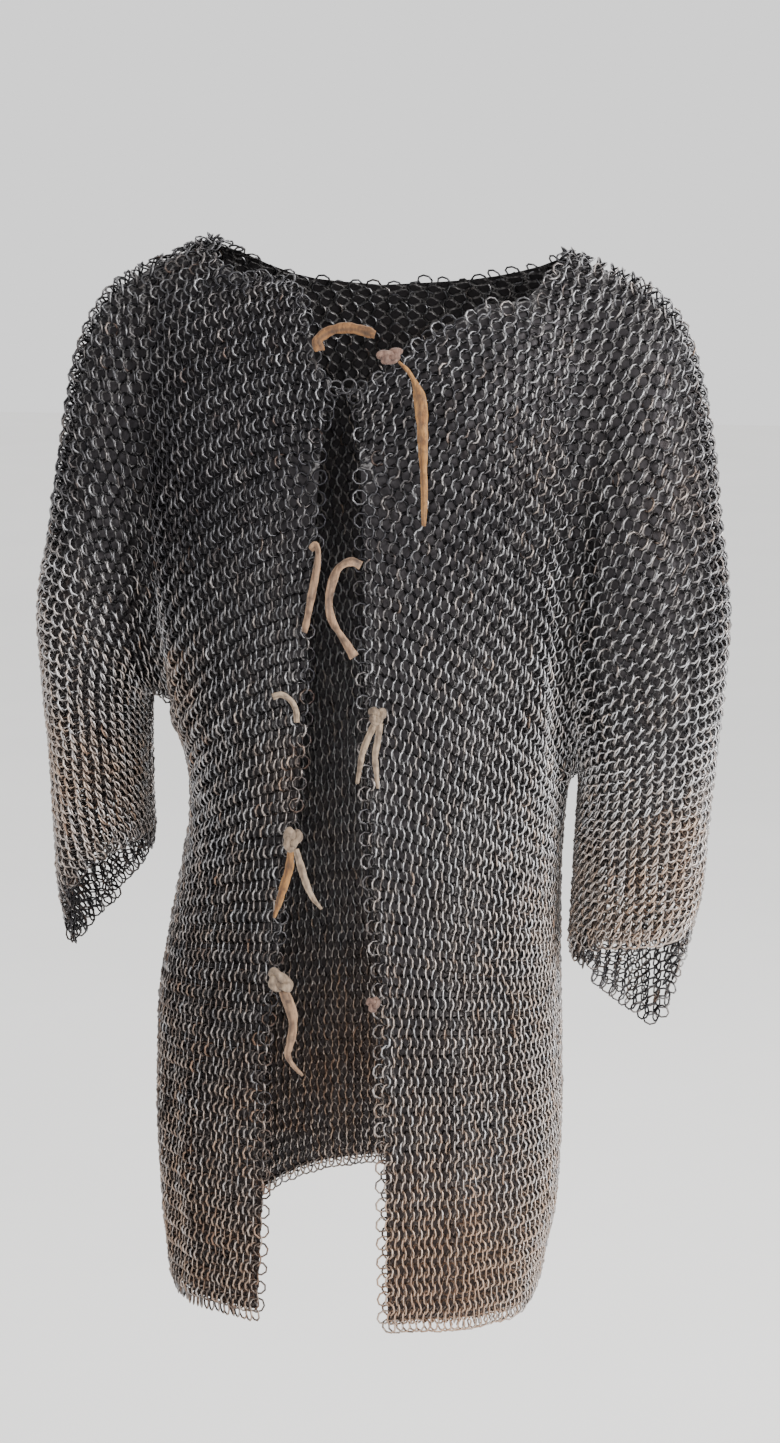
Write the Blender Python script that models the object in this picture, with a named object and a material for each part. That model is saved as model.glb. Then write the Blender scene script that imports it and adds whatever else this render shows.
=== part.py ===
"""A chainmail hauberk: open down the front, long skirt, elbow-length sleeves.

It is modelled hollow and in its worn shape. Every panel is a closed wall of mail, worked
out from sections. The origin is the middle of the shoulder line, where the wearer carries
the weight. The hauberk faces -Y, its left side is at +X and +Z is up. All sizes are metres.
"""

import math
from collections import namedtuple

import bpy
import bmesh
from mathutils import Matrix, Vector

# ---- driving dimensions ----
WALL = 0.0036  # thickness of the four-in-one mail, from front to back of its rings
SEAM_GAP = 0.0003  # between pieces at a seam
BODY_ROUND = 2.3  # superellipse exponent of the body's level sections, 2 is an ellipse
YOKE_ROUND = 2.2  # the same for the arches that run from chest over shoulder to back
SLEEVE_ROUND = 2.15  # the same for the sleeves' sections
CHEST_LEVEL = -0.250  # height at which chest and back stand out furthest
CHEST_DEPTH = 0.118  # from the shoulder line forward to the mail there
BACK_DEPTH = 0.120  # from the shoulder line back to the mail there
ARMHOLE_DEPTH = 0.052  # half the width of an armhole, front to back
RING = 0.0125  # outer diameter of one mail ring
WIRE = 0.0014  # diameter of its wire
LINK_RING_CENTRE = (0.0026, -0.1042, -0.1085)  # the ring that joins the fronts, in their gap

FRONT, BACK = -1, 1
RIGHT, LEFT = -1, 1
SIDE_NAMES = {RIGHT: "right", LEFT: "left"}

# ---- tables ----
# Level sections of the body below the arms, from the armholes down to the hem.
Level = namedtuple("Level", "z right_half left_half front_depth back_depth")
BODY_LEVELS = (
    Level(-0.385, 0.1480, 0.1655, 0.1190, 0.1190),
    Level(-0.400, 0.1415, 0.1650, 0.1190, 0.1185),
    Level(-0.420, 0.1375, 0.1625, 0.1185, 0.1180),
    Level(-0.445, 0.1368, 0.1570, 0.1185, 0.1180),
    Level(-0.490, 0.1435, 0.1530, 0.1180, 0.1180),
    Level(-0.550, 0.1560, 0.1525, 0.1195, 0.1190),
    Level(-0.620, 0.1665, 0.1540, 0.1220, 0.1210),
    Level(-0.700, 0.1685, 0.1550, 0.1240, 0.1230),
    Level(-0.780, 0.1655, 0.1510, 0.1255, 0.1240),
    Level(-0.815, 0.1625, 0.1440, 0.1260, 0.1240),
    Level(-0.850, 0.1590, 0.1380, 0.1260, 0.1240),
)

# Each side's armhole: its lowest point, and how far out it lies there, at the chest and on top.
Armhole = namedtuple("Armhole", "notch_z notch_x chest_x top_x")
ARMHOLES = {
    RIGHT: Armhole(-0.374, 0.1550, 0.1650, 0.1680),
    LEFT: Armhole(-0.416, 0.1640, 0.1705, 0.1745),
}

# The shoulder line from the middle outwards, and the corner where the neck opening meets it.
Ridge = namedtuple("Ridge", "x z")
SHOULDERS = {
    RIGHT: (Ridge(0.0, 0.002), Ridge(0.119, 0.003), Ridge(0.155, -0.008), Ridge(0.187, -0.023)),
    LEFT: (Ridge(0.0, 0.002), Ridge(0.158, -0.006), Ridge(0.184, -0.015), Ridge(0.200, -0.022)),
}
NECK_CORNER = {RIGHT: 0.119, LEFT: 0.158}

# The neck opening's edge on each front, from the front edge out to the corner.
NeckEdge = namedtuple("NeckEdge", "x z")
NECK_FRONT = {
    RIGHT: (
        NeckEdge(0.004, -0.104),
        NeckEdge(0.018, -0.086),
        NeckEdge(0.029, -0.066),
        NeckEdge(0.033, -0.042),
        NeckEdge(0.042, -0.028),
        NeckEdge(0.058, -0.023),
        NeckEdge(0.086, -0.021),
        NeckEdge(0.106, -0.014),
        NeckEdge(0.119, 0.003),
    ),
    LEFT: (
        NeckEdge(0.009, -0.106),
        NeckEdge(0.027, -0.095),
        NeckEdge(0.052, -0.076),
        NeckEdge(0.068, -0.061),
        NeckEdge(0.090, -0.050),
        NeckEdge(0.102, -0.040),
        NeckEdge(0.128, -0.039),
        NeckEdge(0.142, -0.034),
        NeckEdge(0.151, -0.020),
        NeckEdge(0.158, -0.006),
    ),
}
NECK_BACK = {
    RIGHT: (NeckEdge(0.0, -0.034), NeckEdge(0.055, -0.029), NeckEdge(0.095, -0.015), NeckEdge(0.119, 0.003)),
    LEFT: (NeckEdge(0.0, -0.034), NeckEdge(0.070, -0.029), NeckEdge(0.125, -0.019), NeckEdge(0.158, -0.006)),
}

# The front opening: how far each front's edge stands from the middle, from neck to hem.
Opening = namedtuple("Opening", "z right_x left_x")
FRONT_OPENING = (
    Opening(-0.104, 0.004, 0.009),
    Opening(-0.150, 0.012, 0.016),
    Opening(-0.230, 0.015, 0.020),
    Opening(-0.264, 0.021, 0.019),
    Opening(-0.348, 0.023, 0.022),
    Opening(-0.420, 0.031, 0.023),
    Opening(-0.476, 0.040, 0.025),
    Opening(-0.528, 0.046, 0.030),
    Opening(-0.580, 0.053, 0.034),
    Opening(-0.640, 0.058, 0.035),
    Opening(-0.735, 0.060, 0.037),
    Opening(-0.841, 0.066, 0.039),
)

FRONT_EDGE_TOP = {RIGHT: FRONT_OPENING[0].right_x, LEFT: FRONT_OPENING[0].left_x}

# The hem's height from the front edges round to the sides and on to the middle of the back.
HEM_FRONT_Z = -0.843
HEM_SIDE_Z = -0.853
HEM_BACK_Z = -0.790

# Sleeve sections: outer and inner point in the front view, and depth to front and back.
Section = namedtuple("Section", "outer_x outer_z inner_x inner_z front_depth back_depth")
SLEEVES = {
    RIGHT: (
        Section(0.190, -0.024, 0.1615, -0.3670, 0.060, 0.060),
        Section(0.212, -0.042, 0.1675, -0.3615, 0.064, 0.064),
        Section(0.231, -0.076, 0.1730, -0.3585, 0.067, 0.068),
        Section(0.242, -0.118, 0.1780, -0.3580, 0.068, 0.070),
        Section(0.251, -0.166, 0.1815, -0.3600, 0.068, 0.070),
        Section(0.260, -0.222, 0.1840, -0.3645, 0.067, 0.069),
        Section(0.271, -0.285, 0.1855, -0.3730, 0.065, 0.067),
        Section(0.269, -0.345, 0.1860, -0.3900, 0.062, 0.064),
        Section(0.264, -0.410, 0.1860, -0.4150, 0.059, 0.061),
        Section(0.262, -0.470, 0.1855, -0.4420, 0.056, 0.058),
        Section(0.260, -0.525, 0.1845, -0.4650, 0.053, 0.055),
        Section(0.257, -0.570, 0.1830, -0.4830, 0.050, 0.052),
    ),
    LEFT: (
        Section(0.200, -0.021, 0.1650, -0.4140, 0.060, 0.060),
        Section(0.225, -0.034, 0.1662, -0.4122, 0.064, 0.064),
        Section(0.249, -0.059, 0.1676, -0.4112, 0.068, 0.068),
        Section(0.264, -0.100, 0.1690, -0.4110, 0.070, 0.070),
        Section(0.275, -0.150, 0.1704, -0.4118, 0.070, 0.071),
        Section(0.282, -0.210, 0.1715, -0.4136, 0.069, 0.070),
        Section(0.290, -0.280, 0.1722, -0.4175, 0.067, 0.068),
        Section(0.287, -0.345, 0.1722, -0.4270, 0.064, 0.066),
        Section(0.281, -0.405, 0.1710, -0.4450, 0.061, 0.063),
        Section(0.276, -0.460, 0.1695, -0.4740, 0.058, 0.060),
        Section(0.272, -0.510, 0.1675, -0.5150, 0.055, 0.057),
        Section(0.263, -0.550, 0.1650, -0.5590, 0.052, 0.055),
    ),
}
# How much lower the sleeve's hem hangs than its last section, by the angle from its outer edge.
HemDrop = namedtuple("HemDrop", "angle front back")
SLEEVE_HEMS = {
    RIGHT: (
        HemDrop(0, 0.004, 0.004),
        HemDrop(45, -0.042, 0.006),
        HemDrop(90, -0.036, 0.004),
        HemDrop(135, -0.014, 0.004),
        HemDrop(180, 0.0, 0.0),
    ),
    LEFT: (
        HemDrop(0, -0.012, -0.012),
        HemDrop(40, -0.010, 0.040),
        HemDrop(65, -0.012, 0.078),
        HemDrop(95, -0.014, 0.068),
        HemDrop(130, -0.012, 0.040),
        HemDrop(155, -0.004, 0.018),
        HemDrop(180, 0.004, 0.004),
    ),
}

LIKE_ARMHOLE = 5  # sections over which a sleeve turns from the armhole's outline to its own

# ---- resolution ----
SKIRT_ROWS = 11  # rows of faces from hem to armhole
HEM_CROWDING = 0.9  # below 1 the rows grow a little closer together towards the armhole
ARMHOLE_ROWS = 4  # from the armhole's lowest point to chest level
YOKE_ROWS = 8  # from chest level to the shoulder line
FRONT_COLUMNS = {
    RIGHT: (0.0, 0.04, 0.08, 0.13, 0.20, 0.27, 0.34, 0.42, 0.49, 0.555, 0.65, 0.75, 0.85, 0.93, 1.0),
    LEFT: (0.0, 0.05, 0.10, 0.17, 0.25, 0.34, 0.44, 0.54, 0.64, 0.725, 0.79, 0.86, 0.93, 1.0),
}
BACK_COLUMNS = (0.0, 0.11, 0.22, 0.33, 0.44, 0.55, 0.66, 0.78, 0.89, 1.0)
RING_TURNS = 20  # facets round a ring
WIRE_FACETS = 8  # facets round its wire
TIE_STEPS = 2  # points of a tie's curve for each point of its route


def between(low, high, share):
    return low + (high - low) * share


def read(rows, key, column, at):
    """The column's value where the key has the value at, straight between the rows."""
    ordered = sorted(rows, key=lambda row: getattr(row, key))
    if at <= getattr(ordered[0], key):
        return getattr(ordered[0], column)
    for low, high in zip(ordered, ordered[1:]):
        start, end = getattr(low, key), getattr(high, key)
        if at <= end:
            return between(getattr(low, column), getattr(high, column), (at - start) / (end - start))
    return getattr(ordered[-1], column)


def rounded(share, exponent):
    """Height of a superellipse's quarter at a share of its width."""
    share = min(max(share, 0.0), 1.0)
    return (1.0 - share**exponent) ** (1.0 / exponent)


# ---- the body's surface ----
def ridge_z(side, x):
    return read(SHOULDERS[side], "x", "z", x)


def chest_depth(face):
    return CHEST_DEPTH if face == FRONT else BACK_DEPTH


def body_depth(face, z):
    column = "front_depth" if face == FRONT else "back_depth"
    lowest = BODY_LEVELS[0].z
    if z <= lowest:
        return read(BODY_LEVELS, "z", column, z)
    share = (z - lowest) / (CHEST_LEVEL - lowest)
    return between(getattr(BODY_LEVELS[0], column), chest_depth(face), min(share, 1.0))


def armhole_x(side, z):
    hole = ARMHOLES[side]
    if z <= CHEST_LEVEL:
        return between(hole.notch_x, hole.chest_x, (z - hole.notch_z) / (CHEST_LEVEL - hole.notch_z))
    top = ridge_z(side, hole.top_x)
    return between(hole.chest_x, hole.top_x, (z - CHEST_LEVEL) / (top - CHEST_LEVEL))


def armhole_depth(side, z):
    """How far the armhole's edge stands forward, and as far back, at a height."""
    hole = ARMHOLES[side]
    if z <= CHEST_LEVEL:
        return ARMHOLE_DEPTH * rounded((CHEST_LEVEL - z) / (CHEST_LEVEL - hole.notch_z), 2.0)
    top = ridge_z(side, hole.top_x)
    return ARMHOLE_DEPTH * rounded((z - CHEST_LEVEL) / (top - CHEST_LEVEL), YOKE_ROUND)


def half_width(side, face, z):
    """Half width of the level section, and the angle from the middle at which it ends."""
    hole = ARMHOLES[side]
    if z <= hole.notch_z:
        column = "right_half" if side == RIGHT else "left_half"
        top = BODY_LEVELS[0]
        if z > top.z:
            share = (z - top.z) / (hole.notch_z - top.z)
            return between(getattr(top, column), hole.notch_x, share), math.pi / 2
        return read(BODY_LEVELS, "z", column, z), math.pi / 2
    share = armhole_depth(side, z) / body_depth(face, z)
    end = math.acos(share ** (BODY_ROUND / 2))
    return armhole_x(side, z) / math.sin(end) ** (2 / BODY_ROUND), end


def edge_x(side, z):
    return read(FRONT_OPENING, "z", SIDE_NAMES[side] + "_x", z)


def level_point(side, face, column, z):
    """A point of the body at or below chest level. column is 0 at the middle or front edge."""
    half, end = half_width(side, face, z)
    start = 0.0
    if face == FRONT:
        start = math.asin((edge_x(side, z) / half) ** (BODY_ROUND / 2))
    angle = between(start, end, column)
    x = side * half * math.sin(angle) ** (2 / BODY_ROUND)
    y = face * body_depth(face, z) * max(math.cos(angle), 0.0) ** (2 / BODY_ROUND)
    return Vector((x, y, z))


def yoke_point(side, face, column, turn):
    """A point of the arch over the shoulder. turn is 0 at chest level and 1 on the shoulder line,
    or at the neck opening's edge."""
    base = level_point(side, face, column, CHEST_LEVEL)
    hole = ARMHOLES[side]
    x_base = abs(base.x)
    chest_edge = edge_x(side, CHEST_LEVEL) if face == FRONT else 0.0
    neck_edge = FRONT_EDGE_TOP[side] if face == FRONT else 0.0
    share = (x_base - chest_edge) / (hole.chest_x - chest_edge)
    x_top = between(neck_edge, hole.top_x, share)
    rise = ridge_z(side, x_top) - CHEST_LEVEL
    last = math.pi / 2
    if x_top < NECK_CORNER[side]:
        neck = NECK_FRONT if face == FRONT else NECK_BACK
        share = (read(neck[side], "x", "z", x_top) - CHEST_LEVEL) / rise
        last = math.asin(min(share, 1.0) ** (YOKE_ROUND / 2))
    angle = last * turn
    lift = math.sin(angle) ** (2 / YOKE_ROUND)
    x = side * between(x_base, x_top, lift / math.sin(last) ** (2 / YOKE_ROUND))
    if face == FRONT and column == 0.0:
        x = side * edge_x(side, CHEST_LEVEL + rise * lift)
    y = base.y * max(math.cos(angle), 0.0) ** (2 / YOKE_ROUND)
    return Vector((x, y, CHEST_LEVEL + rise * lift))


def hem_z(face, column):
    """The hem's height: a soft curve from the middle to the side."""
    middle = HEM_FRONT_Z if face == FRONT else HEM_BACK_Z
    ease = 0.5 - 0.5 * math.cos(math.pi * column)
    return between(middle, HEM_SIDE_Z, ease)


def row_height(side, face, column, row):
    """The height of a level row: hem, skirt, armhole and chest."""
    notch = ARMHOLES[side].notch_z
    other = ARMHOLES[-side].notch_z
    lowest = between((notch + other) / 2, notch, column)
    if row < SKIRT_ROWS:
        return between(hem_z(face, column), lowest, (row / SKIRT_ROWS) ** HEM_CROWDING)
    angle = math.pi / 2 * (row - SKIRT_ROWS) / ARMHOLE_ROWS
    return CHEST_LEVEL - (CHEST_LEVEL - lowest) * math.cos(angle)


def column_points(side, face, column):
    """One column of a panel's middle surface, from the hem up to the shoulder or neck."""
    points = []
    for row in range(SKIRT_ROWS + ARMHOLE_ROWS):
        points.append(level_point(side, face, column, row_height(side, face, column, row)))
    for row in range(YOKE_ROWS + 1):
        points.append(yoke_point(side, face, column, row / YOKE_ROWS))
    return points


# ---- walls ----
def surface_normals(grid, closed, way):
    """A unit normal for each point of a grid. way is 1 or -1, whichever turns them outwards."""
    columns, rows = len(grid), len(grid[0])
    normals = []
    for i in range(columns):
        line = []
        for j in range(rows):
            before = grid[i - 1][j] if closed or i > 0 else grid[i][j]
            after = grid[(i + 1) % columns][j] if closed or i + 1 < columns else grid[i][j]
            along = grid[i][min(j + 1, rows - 1)] - grid[i][max(j - 1, 0)]
            line.append((after - before).cross(along).normalized() * way)
        normals.append(line)
    return normals


def in_plane(vector, axis):
    """The vector without its part along an axis, at unit length."""
    flat = vector.copy()
    flat[axis] = 0.0
    return flat.normalized()


def wall_object(name, grid, normals, closed, material):
    """A closed wall on both sides of a grid of middle points. The normals point outwards."""
    mesh = bmesh.new()
    columns, rows = len(grid), len(grid[0])
    skins = []
    for way in (0.5, -0.5):
        skin = []
        for i in range(columns):
            line = [mesh.verts.new(grid[i][j] + normals[i][j] * WALL * way) for j in range(rows)]
            skin.append(line)
        skins.append(skin)
    outer, inner = skins
    last = columns if closed else columns - 1
    for i in range(last):
        k = (i + 1) % columns
        for j in range(rows - 1):
            mesh.faces.new((outer[i][j], outer[k][j], outer[k][j + 1], outer[i][j + 1]))
            mesh.faces.new((inner[i][j], inner[i][j + 1], inner[k][j + 1], inner[k][j]))
        mesh.faces.new((outer[i][0], inner[i][0], inner[k][0], outer[k][0]))
        mesh.faces.new((outer[i][-1], outer[k][-1], inner[k][-1], inner[i][-1]))
    if not closed:
        for j in range(rows - 1):
            mesh.faces.new((outer[0][j], outer[0][j + 1], inner[0][j + 1], inner[0][j]))
            mesh.faces.new((outer[-1][j], inner[-1][j], inner[-1][j + 1], outer[-1][j + 1]))
    bmesh.ops.triangulate(mesh, faces=mesh.faces[:])
    bmesh.ops.recalc_face_normals(mesh, faces=mesh.faces[:])
    return mesh_object(name, mesh, material)


def mesh_object(name, mesh, material):
    data = bpy.data.meshes.new(name)
    mesh.to_mesh(data)
    mesh.free()
    data.materials.append(material)
    thing = bpy.data.objects.new(name, data)
    bpy.context.scene.collection.objects.link(thing)
    return thing


def make_material(name, colour, roughness, metallic):
    material = bpy.data.materials.new(name)
    material.use_nodes = True
    shader = material.node_tree.nodes["Principled BSDF"]
    shader.inputs["Base Color"].default_value = (*colour, 1.0)
    shader.inputs["Roughness"].default_value = roughness
    shader.inputs["Metallic"].default_value = metallic
    material.diffuse_color = (*colour, 1.0)
    return material


# ---- the body panels ----
def seam_normals(side, face, line, normals):
    """Turns a side column's normals into its seams' planes, so that neighbours meet squarely."""
    for row in range(SKIRT_ROWS):
        normals[row] = in_plane(Vector((side, 0.0, normals[row].z)), 1)
    for row in range(SKIRT_ROWS, len(line)):
        normals[row] = armhole_normal(face, line, row)


def armhole_normal(face, line, row):
    """The armhole edge's normal in its own plane: down at its lowest point, up on the shoulder."""
    if row == SKIRT_ROWS:
        return Vector((0.0, 0.0, -1.0))
    if row == len(line) - 1:
        return Vector((0.0, 0.0, 1.0))
    along = line[row + 1] - line[row - 1]
    return Vector((0.0, face * along.z, -face * along.y)).normalized()


def panel_grid(side, face, columns):
    """Middle points and outward normals of half a body panel, column by column."""
    grid = [column_points(side, face, column) for column in columns]
    normals = surface_normals(grid, False, -side * face)
    seam_normals(side, face, grid[-1], normals[-1])
    for line, row_normals in zip(grid, normals):
        on_shoulder = abs(line[-1].y) < SEAM_GAP / 2
        if on_shoulder:
            row_normals[-1] = in_plane(Vector((row_normals[-1].x, 0.0, 1.0)), 1)
        for point in line:
            if abs(point.y) < SEAM_GAP / 2:
                point.y = face * SEAM_GAP / 2
    return grid, normals


def make_front(side, material):
    grid, normals = panel_grid(side, FRONT, FRONT_COLUMNS[side])
    wall_object(SIDE_NAMES[side] + "_front", grid, normals, False, material)


def make_back(material):
    right_grid, right_normals = panel_grid(RIGHT, BACK, BACK_COLUMNS)
    left_grid, left_normals = panel_grid(LEFT, BACK, BACK_COLUMNS)
    grid = left_grid[:0:-1] + right_grid
    normals = left_normals[:0:-1] + right_normals
    for row_normal in normals[len(left_grid) - 1]:
        row_normal.x = 0.0
        row_normal.normalize()
    wall_object("back", grid, normals, False, material)


# ---- the sleeves ----
def armhole_rows(side):
    """The armhole's points from the shoulder down to its lowest point, on the front."""
    line = column_points(side, FRONT, 1.0)
    return line[SKIRT_ROWS:][::-1]


def hem_drop(side, face, share):
    angle = math.degrees(math.acos(1.0 - 2.0 * share))
    return read(SLEEVE_HEMS[side], "angle", "front" if face == FRONT else "back", angle)


def sleeve_point(side, face, index, share, arm_depth):
    """A point of a sleeve section. share runs from its outer to its inner point."""
    section = SLEEVES[side][index]
    depth = section.front_depth if face == FRONT else section.back_depth
    own = depth * rounded(abs(2.0 * share - 1.0), SLEEVE_ROUND)
    blend = min((index + 1) / LIKE_ARMHOLE, 1.0)
    like_armhole = arm_depth * depth / ARMHOLE_DEPTH
    x = side * between(section.outer_x, section.inner_x, share)
    z = between(section.outer_z, section.inner_z, share)
    if index == len(SLEEVES[side]) - 1:
        z -= hem_drop(side, face, share)
    return Vector((x, face * between(like_armhole, own, blend), z))


def make_sleeve(side, material):
    rows = armhole_rows(side)
    top, low = rows[0].z, rows[-1].z
    loop = [(FRONT, point) for point in rows] + [(BACK, point) for point in rows[-2:0:-1]]
    grid = []
    for face, point in loop:
        start = Vector((point.x + side * SEAM_GAP, face * abs(point.y), point.z))
        line = [start]
        share = (top - point.z) / (top - low)
        for index in range(len(SLEEVES[side])):
            line.append(sleeve_point(side, face, index, share, abs(point.y)))
        grid.append(line)
    normals = surface_normals(grid, True, side)
    seam = column_points(side, FRONT, 1.0)
    lowest = len(rows) - 1
    for i, (face, point) in enumerate(loop):
        normal = armhole_normal(FRONT, seam, SKIRT_ROWS + abs(lowest - i))
        normals[i][0] = Vector((0.0, -face * normal.y, normal.z))
    wall_object(SIDE_NAMES[side] + "_sleeve", grid, normals, True, material)


# ---- rings and ties ----
def make_link_ring(name, centre, material):
    """The ring that joins the two fronts under the neck, flat between their edges."""
    mesh = bmesh.new()
    loops = []
    for turn in range(RING_TURNS):
        around = 2 * math.pi * turn / RING_TURNS
        outward = Vector((math.cos(around), 0.0, math.sin(around)))
        loop = []
        for facet in range(WIRE_FACETS):
            angle = 2 * math.pi * facet / WIRE_FACETS
            reach = RING / 2 - WIRE / 2 + WIRE / 2 * math.cos(angle)
            rise = Vector((0.0, WIRE / 2 * math.sin(angle), 0.0))
            loop.append(mesh.verts.new(Vector(centre) + outward * reach + rise))
        loops.append(loop)
    for here, ahead in zip(loops, loops[1:] + loops[:1]):
        for k in range(WIRE_FACETS):
            m = (k + 1) % WIRE_FACETS
            mesh.faces.new((here[k], here[m], ahead[m], ahead[k]))
    bmesh.ops.recalc_face_normals(mesh, faces=mesh.faces[:])
    mesh_object(name, mesh, material)


def make_knot(name, centre, size, tilt, material):
    """A tied knot of soft leather: a pebble with shallow lumps where its turns cross."""
    mesh = bmesh.new()
    bmesh.ops.create_icosphere(mesh, subdivisions=2, radius=0.5)
    turn = Matrix.Rotation(math.radians(tilt), 3, "Y")
    for vertex in mesh.verts:
        point = vertex.co
        lump = math.sin(KNOT_WAVES * point.x) * math.cos(KNOT_WAVES * point.z)
        stretched = Vector((point.x * size[0], point.y * size[1], point.z * size[2]))
        vertex.co = Vector(centre) + turn @ (stretched * (1.0 + KNOT_LUMP * lump))
    mesh_object(name, mesh, material)


def smooth_route(points):
    """Points of a Catmull-Rom curve through the route, the same number between each two."""
    route = [Vector(point) for point in points]
    ends = [route[0] * 2 - route[1]] + route + [route[-1] * 2 - route[-2]]
    smooth = []
    for i in range(len(route) - 1):
        before, start, end, after = ends[i : i + 4]
        for k in range(TIE_STEPS):
            t = k / TIE_STEPS
            smooth.append(
                0.5 * (
                    2 * start + (end - before) * t
                    + (2 * before - 5 * start + 4 * end - after) * t**2
                    + (3 * start - before - 3 * end + after) * t**3
                )
            )
    smooth.append(route[-1])
    return smooth


def make_tie(name, points, thickness, material):
    """A leather thong along its route, with closed ends."""
    curve = bpy.data.curves.new(name, "CURVE")
    curve.dimensions = "3D"
    curve.bevel_depth = thickness / 2
    curve.bevel_resolution = 2
    curve.use_fill_caps = True
    route = smooth_route(points)
    spline = curve.splines.new("POLY")
    spline.points.add(len(route) - 1)
    for target, point in zip(spline.points, route):
        target.co = (*point, 1.0)
    curve.materials.append(material)
    thing = bpy.data.objects.new(name, curve)
    bpy.context.scene.collection.objects.link(thing)


KNOT_LUMP = 0.10  # share by which a knot's lumps swell it
KNOT_WAVES = 8.0  # radians of its lumps across its width
TIE = 0.0040  # thickness of a rolled or folded leather thong
Tie = namedtuple("Tie", "name thickness points")
TIES = (
    Tie("neck_strap", 0.0050, (
        (-0.015, -0.100, -0.077), (-0.018, -0.097, -0.070), (-0.012, -0.095, -0.064),
        (-0.004, -0.094, -0.061), (0.006, -0.093, -0.060), (0.017, -0.094, -0.062),
        (0.026, -0.095, -0.065),
    )),
    Tie("neck_lace", 0.0050, (
        (0.050, -0.107, -0.087), (0.055, -0.108, -0.092), (0.060, -0.110, -0.101),
        (0.064, -0.113, -0.113), (0.066, -0.116, -0.127), (0.067, -0.119, -0.143),
        (0.068, -0.122, -0.160), (0.069, -0.123, -0.180), (0.069, -0.124, -0.205),
    )),
    Tie("upper_right_lace", TIE, (
        (-0.018, -0.124, -0.225), (-0.014, -0.125, -0.2215), (-0.012, -0.126, -0.228),
        (-0.014, -0.126, -0.244), (-0.017, -0.126, -0.260), (-0.020, -0.126, -0.275),
        (-0.023, -0.126, -0.288),
    )),
    Tie("upper_left_loop", TIE, (
        (0.021, -0.124, -0.236), (0.015, -0.125, -0.233), (0.009, -0.125, -0.234),
        (0.003, -0.125, -0.239), (-0.001, -0.125, -0.249), (-0.0035, -0.125, -0.262),
        (-0.003, -0.125, -0.273), (0.000, -0.125, -0.282), (0.006, -0.125, -0.291),
        (0.012, -0.125, -0.300), (0.016, -0.125, -0.306),
    )),
    Tie("middle_right_stub", TIE, (
        (-0.048, -0.125, -0.339), (-0.041, -0.126, -0.337), (-0.034, -0.126, -0.341),
        (-0.030, -0.126, -0.348), (-0.029, -0.126, -0.358),
    )),
    Tie("middle_left_end_long", 0.0036, (
        (0.029, -0.125, -0.362), (0.026, -0.126, -0.369), (0.022, -0.126, -0.380),
        (0.020, -0.126, -0.392), (0.018, -0.126, -0.404),
    )),
    Tie("middle_left_end_short", 0.0036, (
        (0.036, -0.125, -0.362), (0.034, -0.126, -0.370), (0.032, -0.126, -0.382),
        (0.033, -0.126, -0.395), (0.034, -0.126, -0.407),
    )),
    Tie("lower_right_end_long", TIE, (
        (-0.034, -0.125, -0.464), (-0.036, -0.125, -0.473), (-0.040, -0.125, -0.486),
        (-0.044, -0.126, -0.500), (-0.048, -0.126, -0.513),
    )),
    Tie("lower_right_end_curved", TIE, (
        (-0.028, -0.125, -0.464), (-0.026, -0.125, -0.474), (-0.022, -0.125, -0.486),
        (-0.017, -0.126, -0.496), (-0.010, -0.127, -0.504),
    )),
    Tie("bottom_right_end", 0.0045, (
        (-0.037, -0.128, -0.578), (-0.034, -0.129, -0.588), (-0.033, -0.130, -0.600),
        (-0.035, -0.130, -0.612), (-0.037, -0.130, -0.622), (-0.032, -0.130, -0.631),
        (-0.025, -0.130, -0.638),
    )),
)

Knot = namedtuple("Knot", "name centre size tilt")
KNOTS = (
    Knot("neck_knot", (0.039, -0.1035, -0.080), (0.021, 0.010, 0.012), -12),
    Knot("middle_left_knot", (0.034, -0.1290, -0.350), (0.014, 0.011, 0.015), 10),
    Knot("lower_right_knot", (-0.033, -0.1285, -0.449), (0.015, 0.011, 0.022), 15),
    Knot("bottom_right_knot", (-0.043, -0.1305, -0.562), (0.025, 0.012, 0.018), 40),
    Knot("bottom_left_knot", (0.031, -0.1290, -0.577), (0.012, 0.009, 0.013), 0),
)


def main():
    for thing in list(bpy.data.objects):
        bpy.data.objects.remove(thing, do_unlink=True)
    mail = make_material("iron_mail", (0.13, 0.12, 0.115), 0.42, 1.0)
    leather = make_material("leather_tie", (0.45, 0.32, 0.20), 0.75, 0.0)
    for side in (RIGHT, LEFT):
        make_front(side, mail)
        make_sleeve(side, mail)
    make_back(mail)
    make_link_ring("neck_link_ring", LINK_RING_CENTRE, mail)
    for tie in TIES:
        make_tie(tie.name, tie.points, tie.thickness, leather)
    for knot in KNOTS:
        make_knot(knot.name, knot.centre, knot.size, knot.tilt, leather)


main()
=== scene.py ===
"""A chainmail hauberk, open down the front, with elbow-length sleeves and leather ties.

Each panel's middle surface is worked out from the same sections as its solid. Rows of rings
are laid over it so that they turn with the drape: level round the body, down along the arms.
Each ring is a mesh of its own, spaced and leaning as a link of a four-in-one weave. They aren't
threaded through each other, and neighbours overlap. Under them lies a thin dark web, the far
side of the mail, whose near black is painted shade between the links. All sizes are metres.
The hauberk faces -Y, its left side is at +X, +Z is up.
"""

import math
from collections import namedtuple

import bmesh
import bpy
import numpy as np
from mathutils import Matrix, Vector, kdtree


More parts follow.
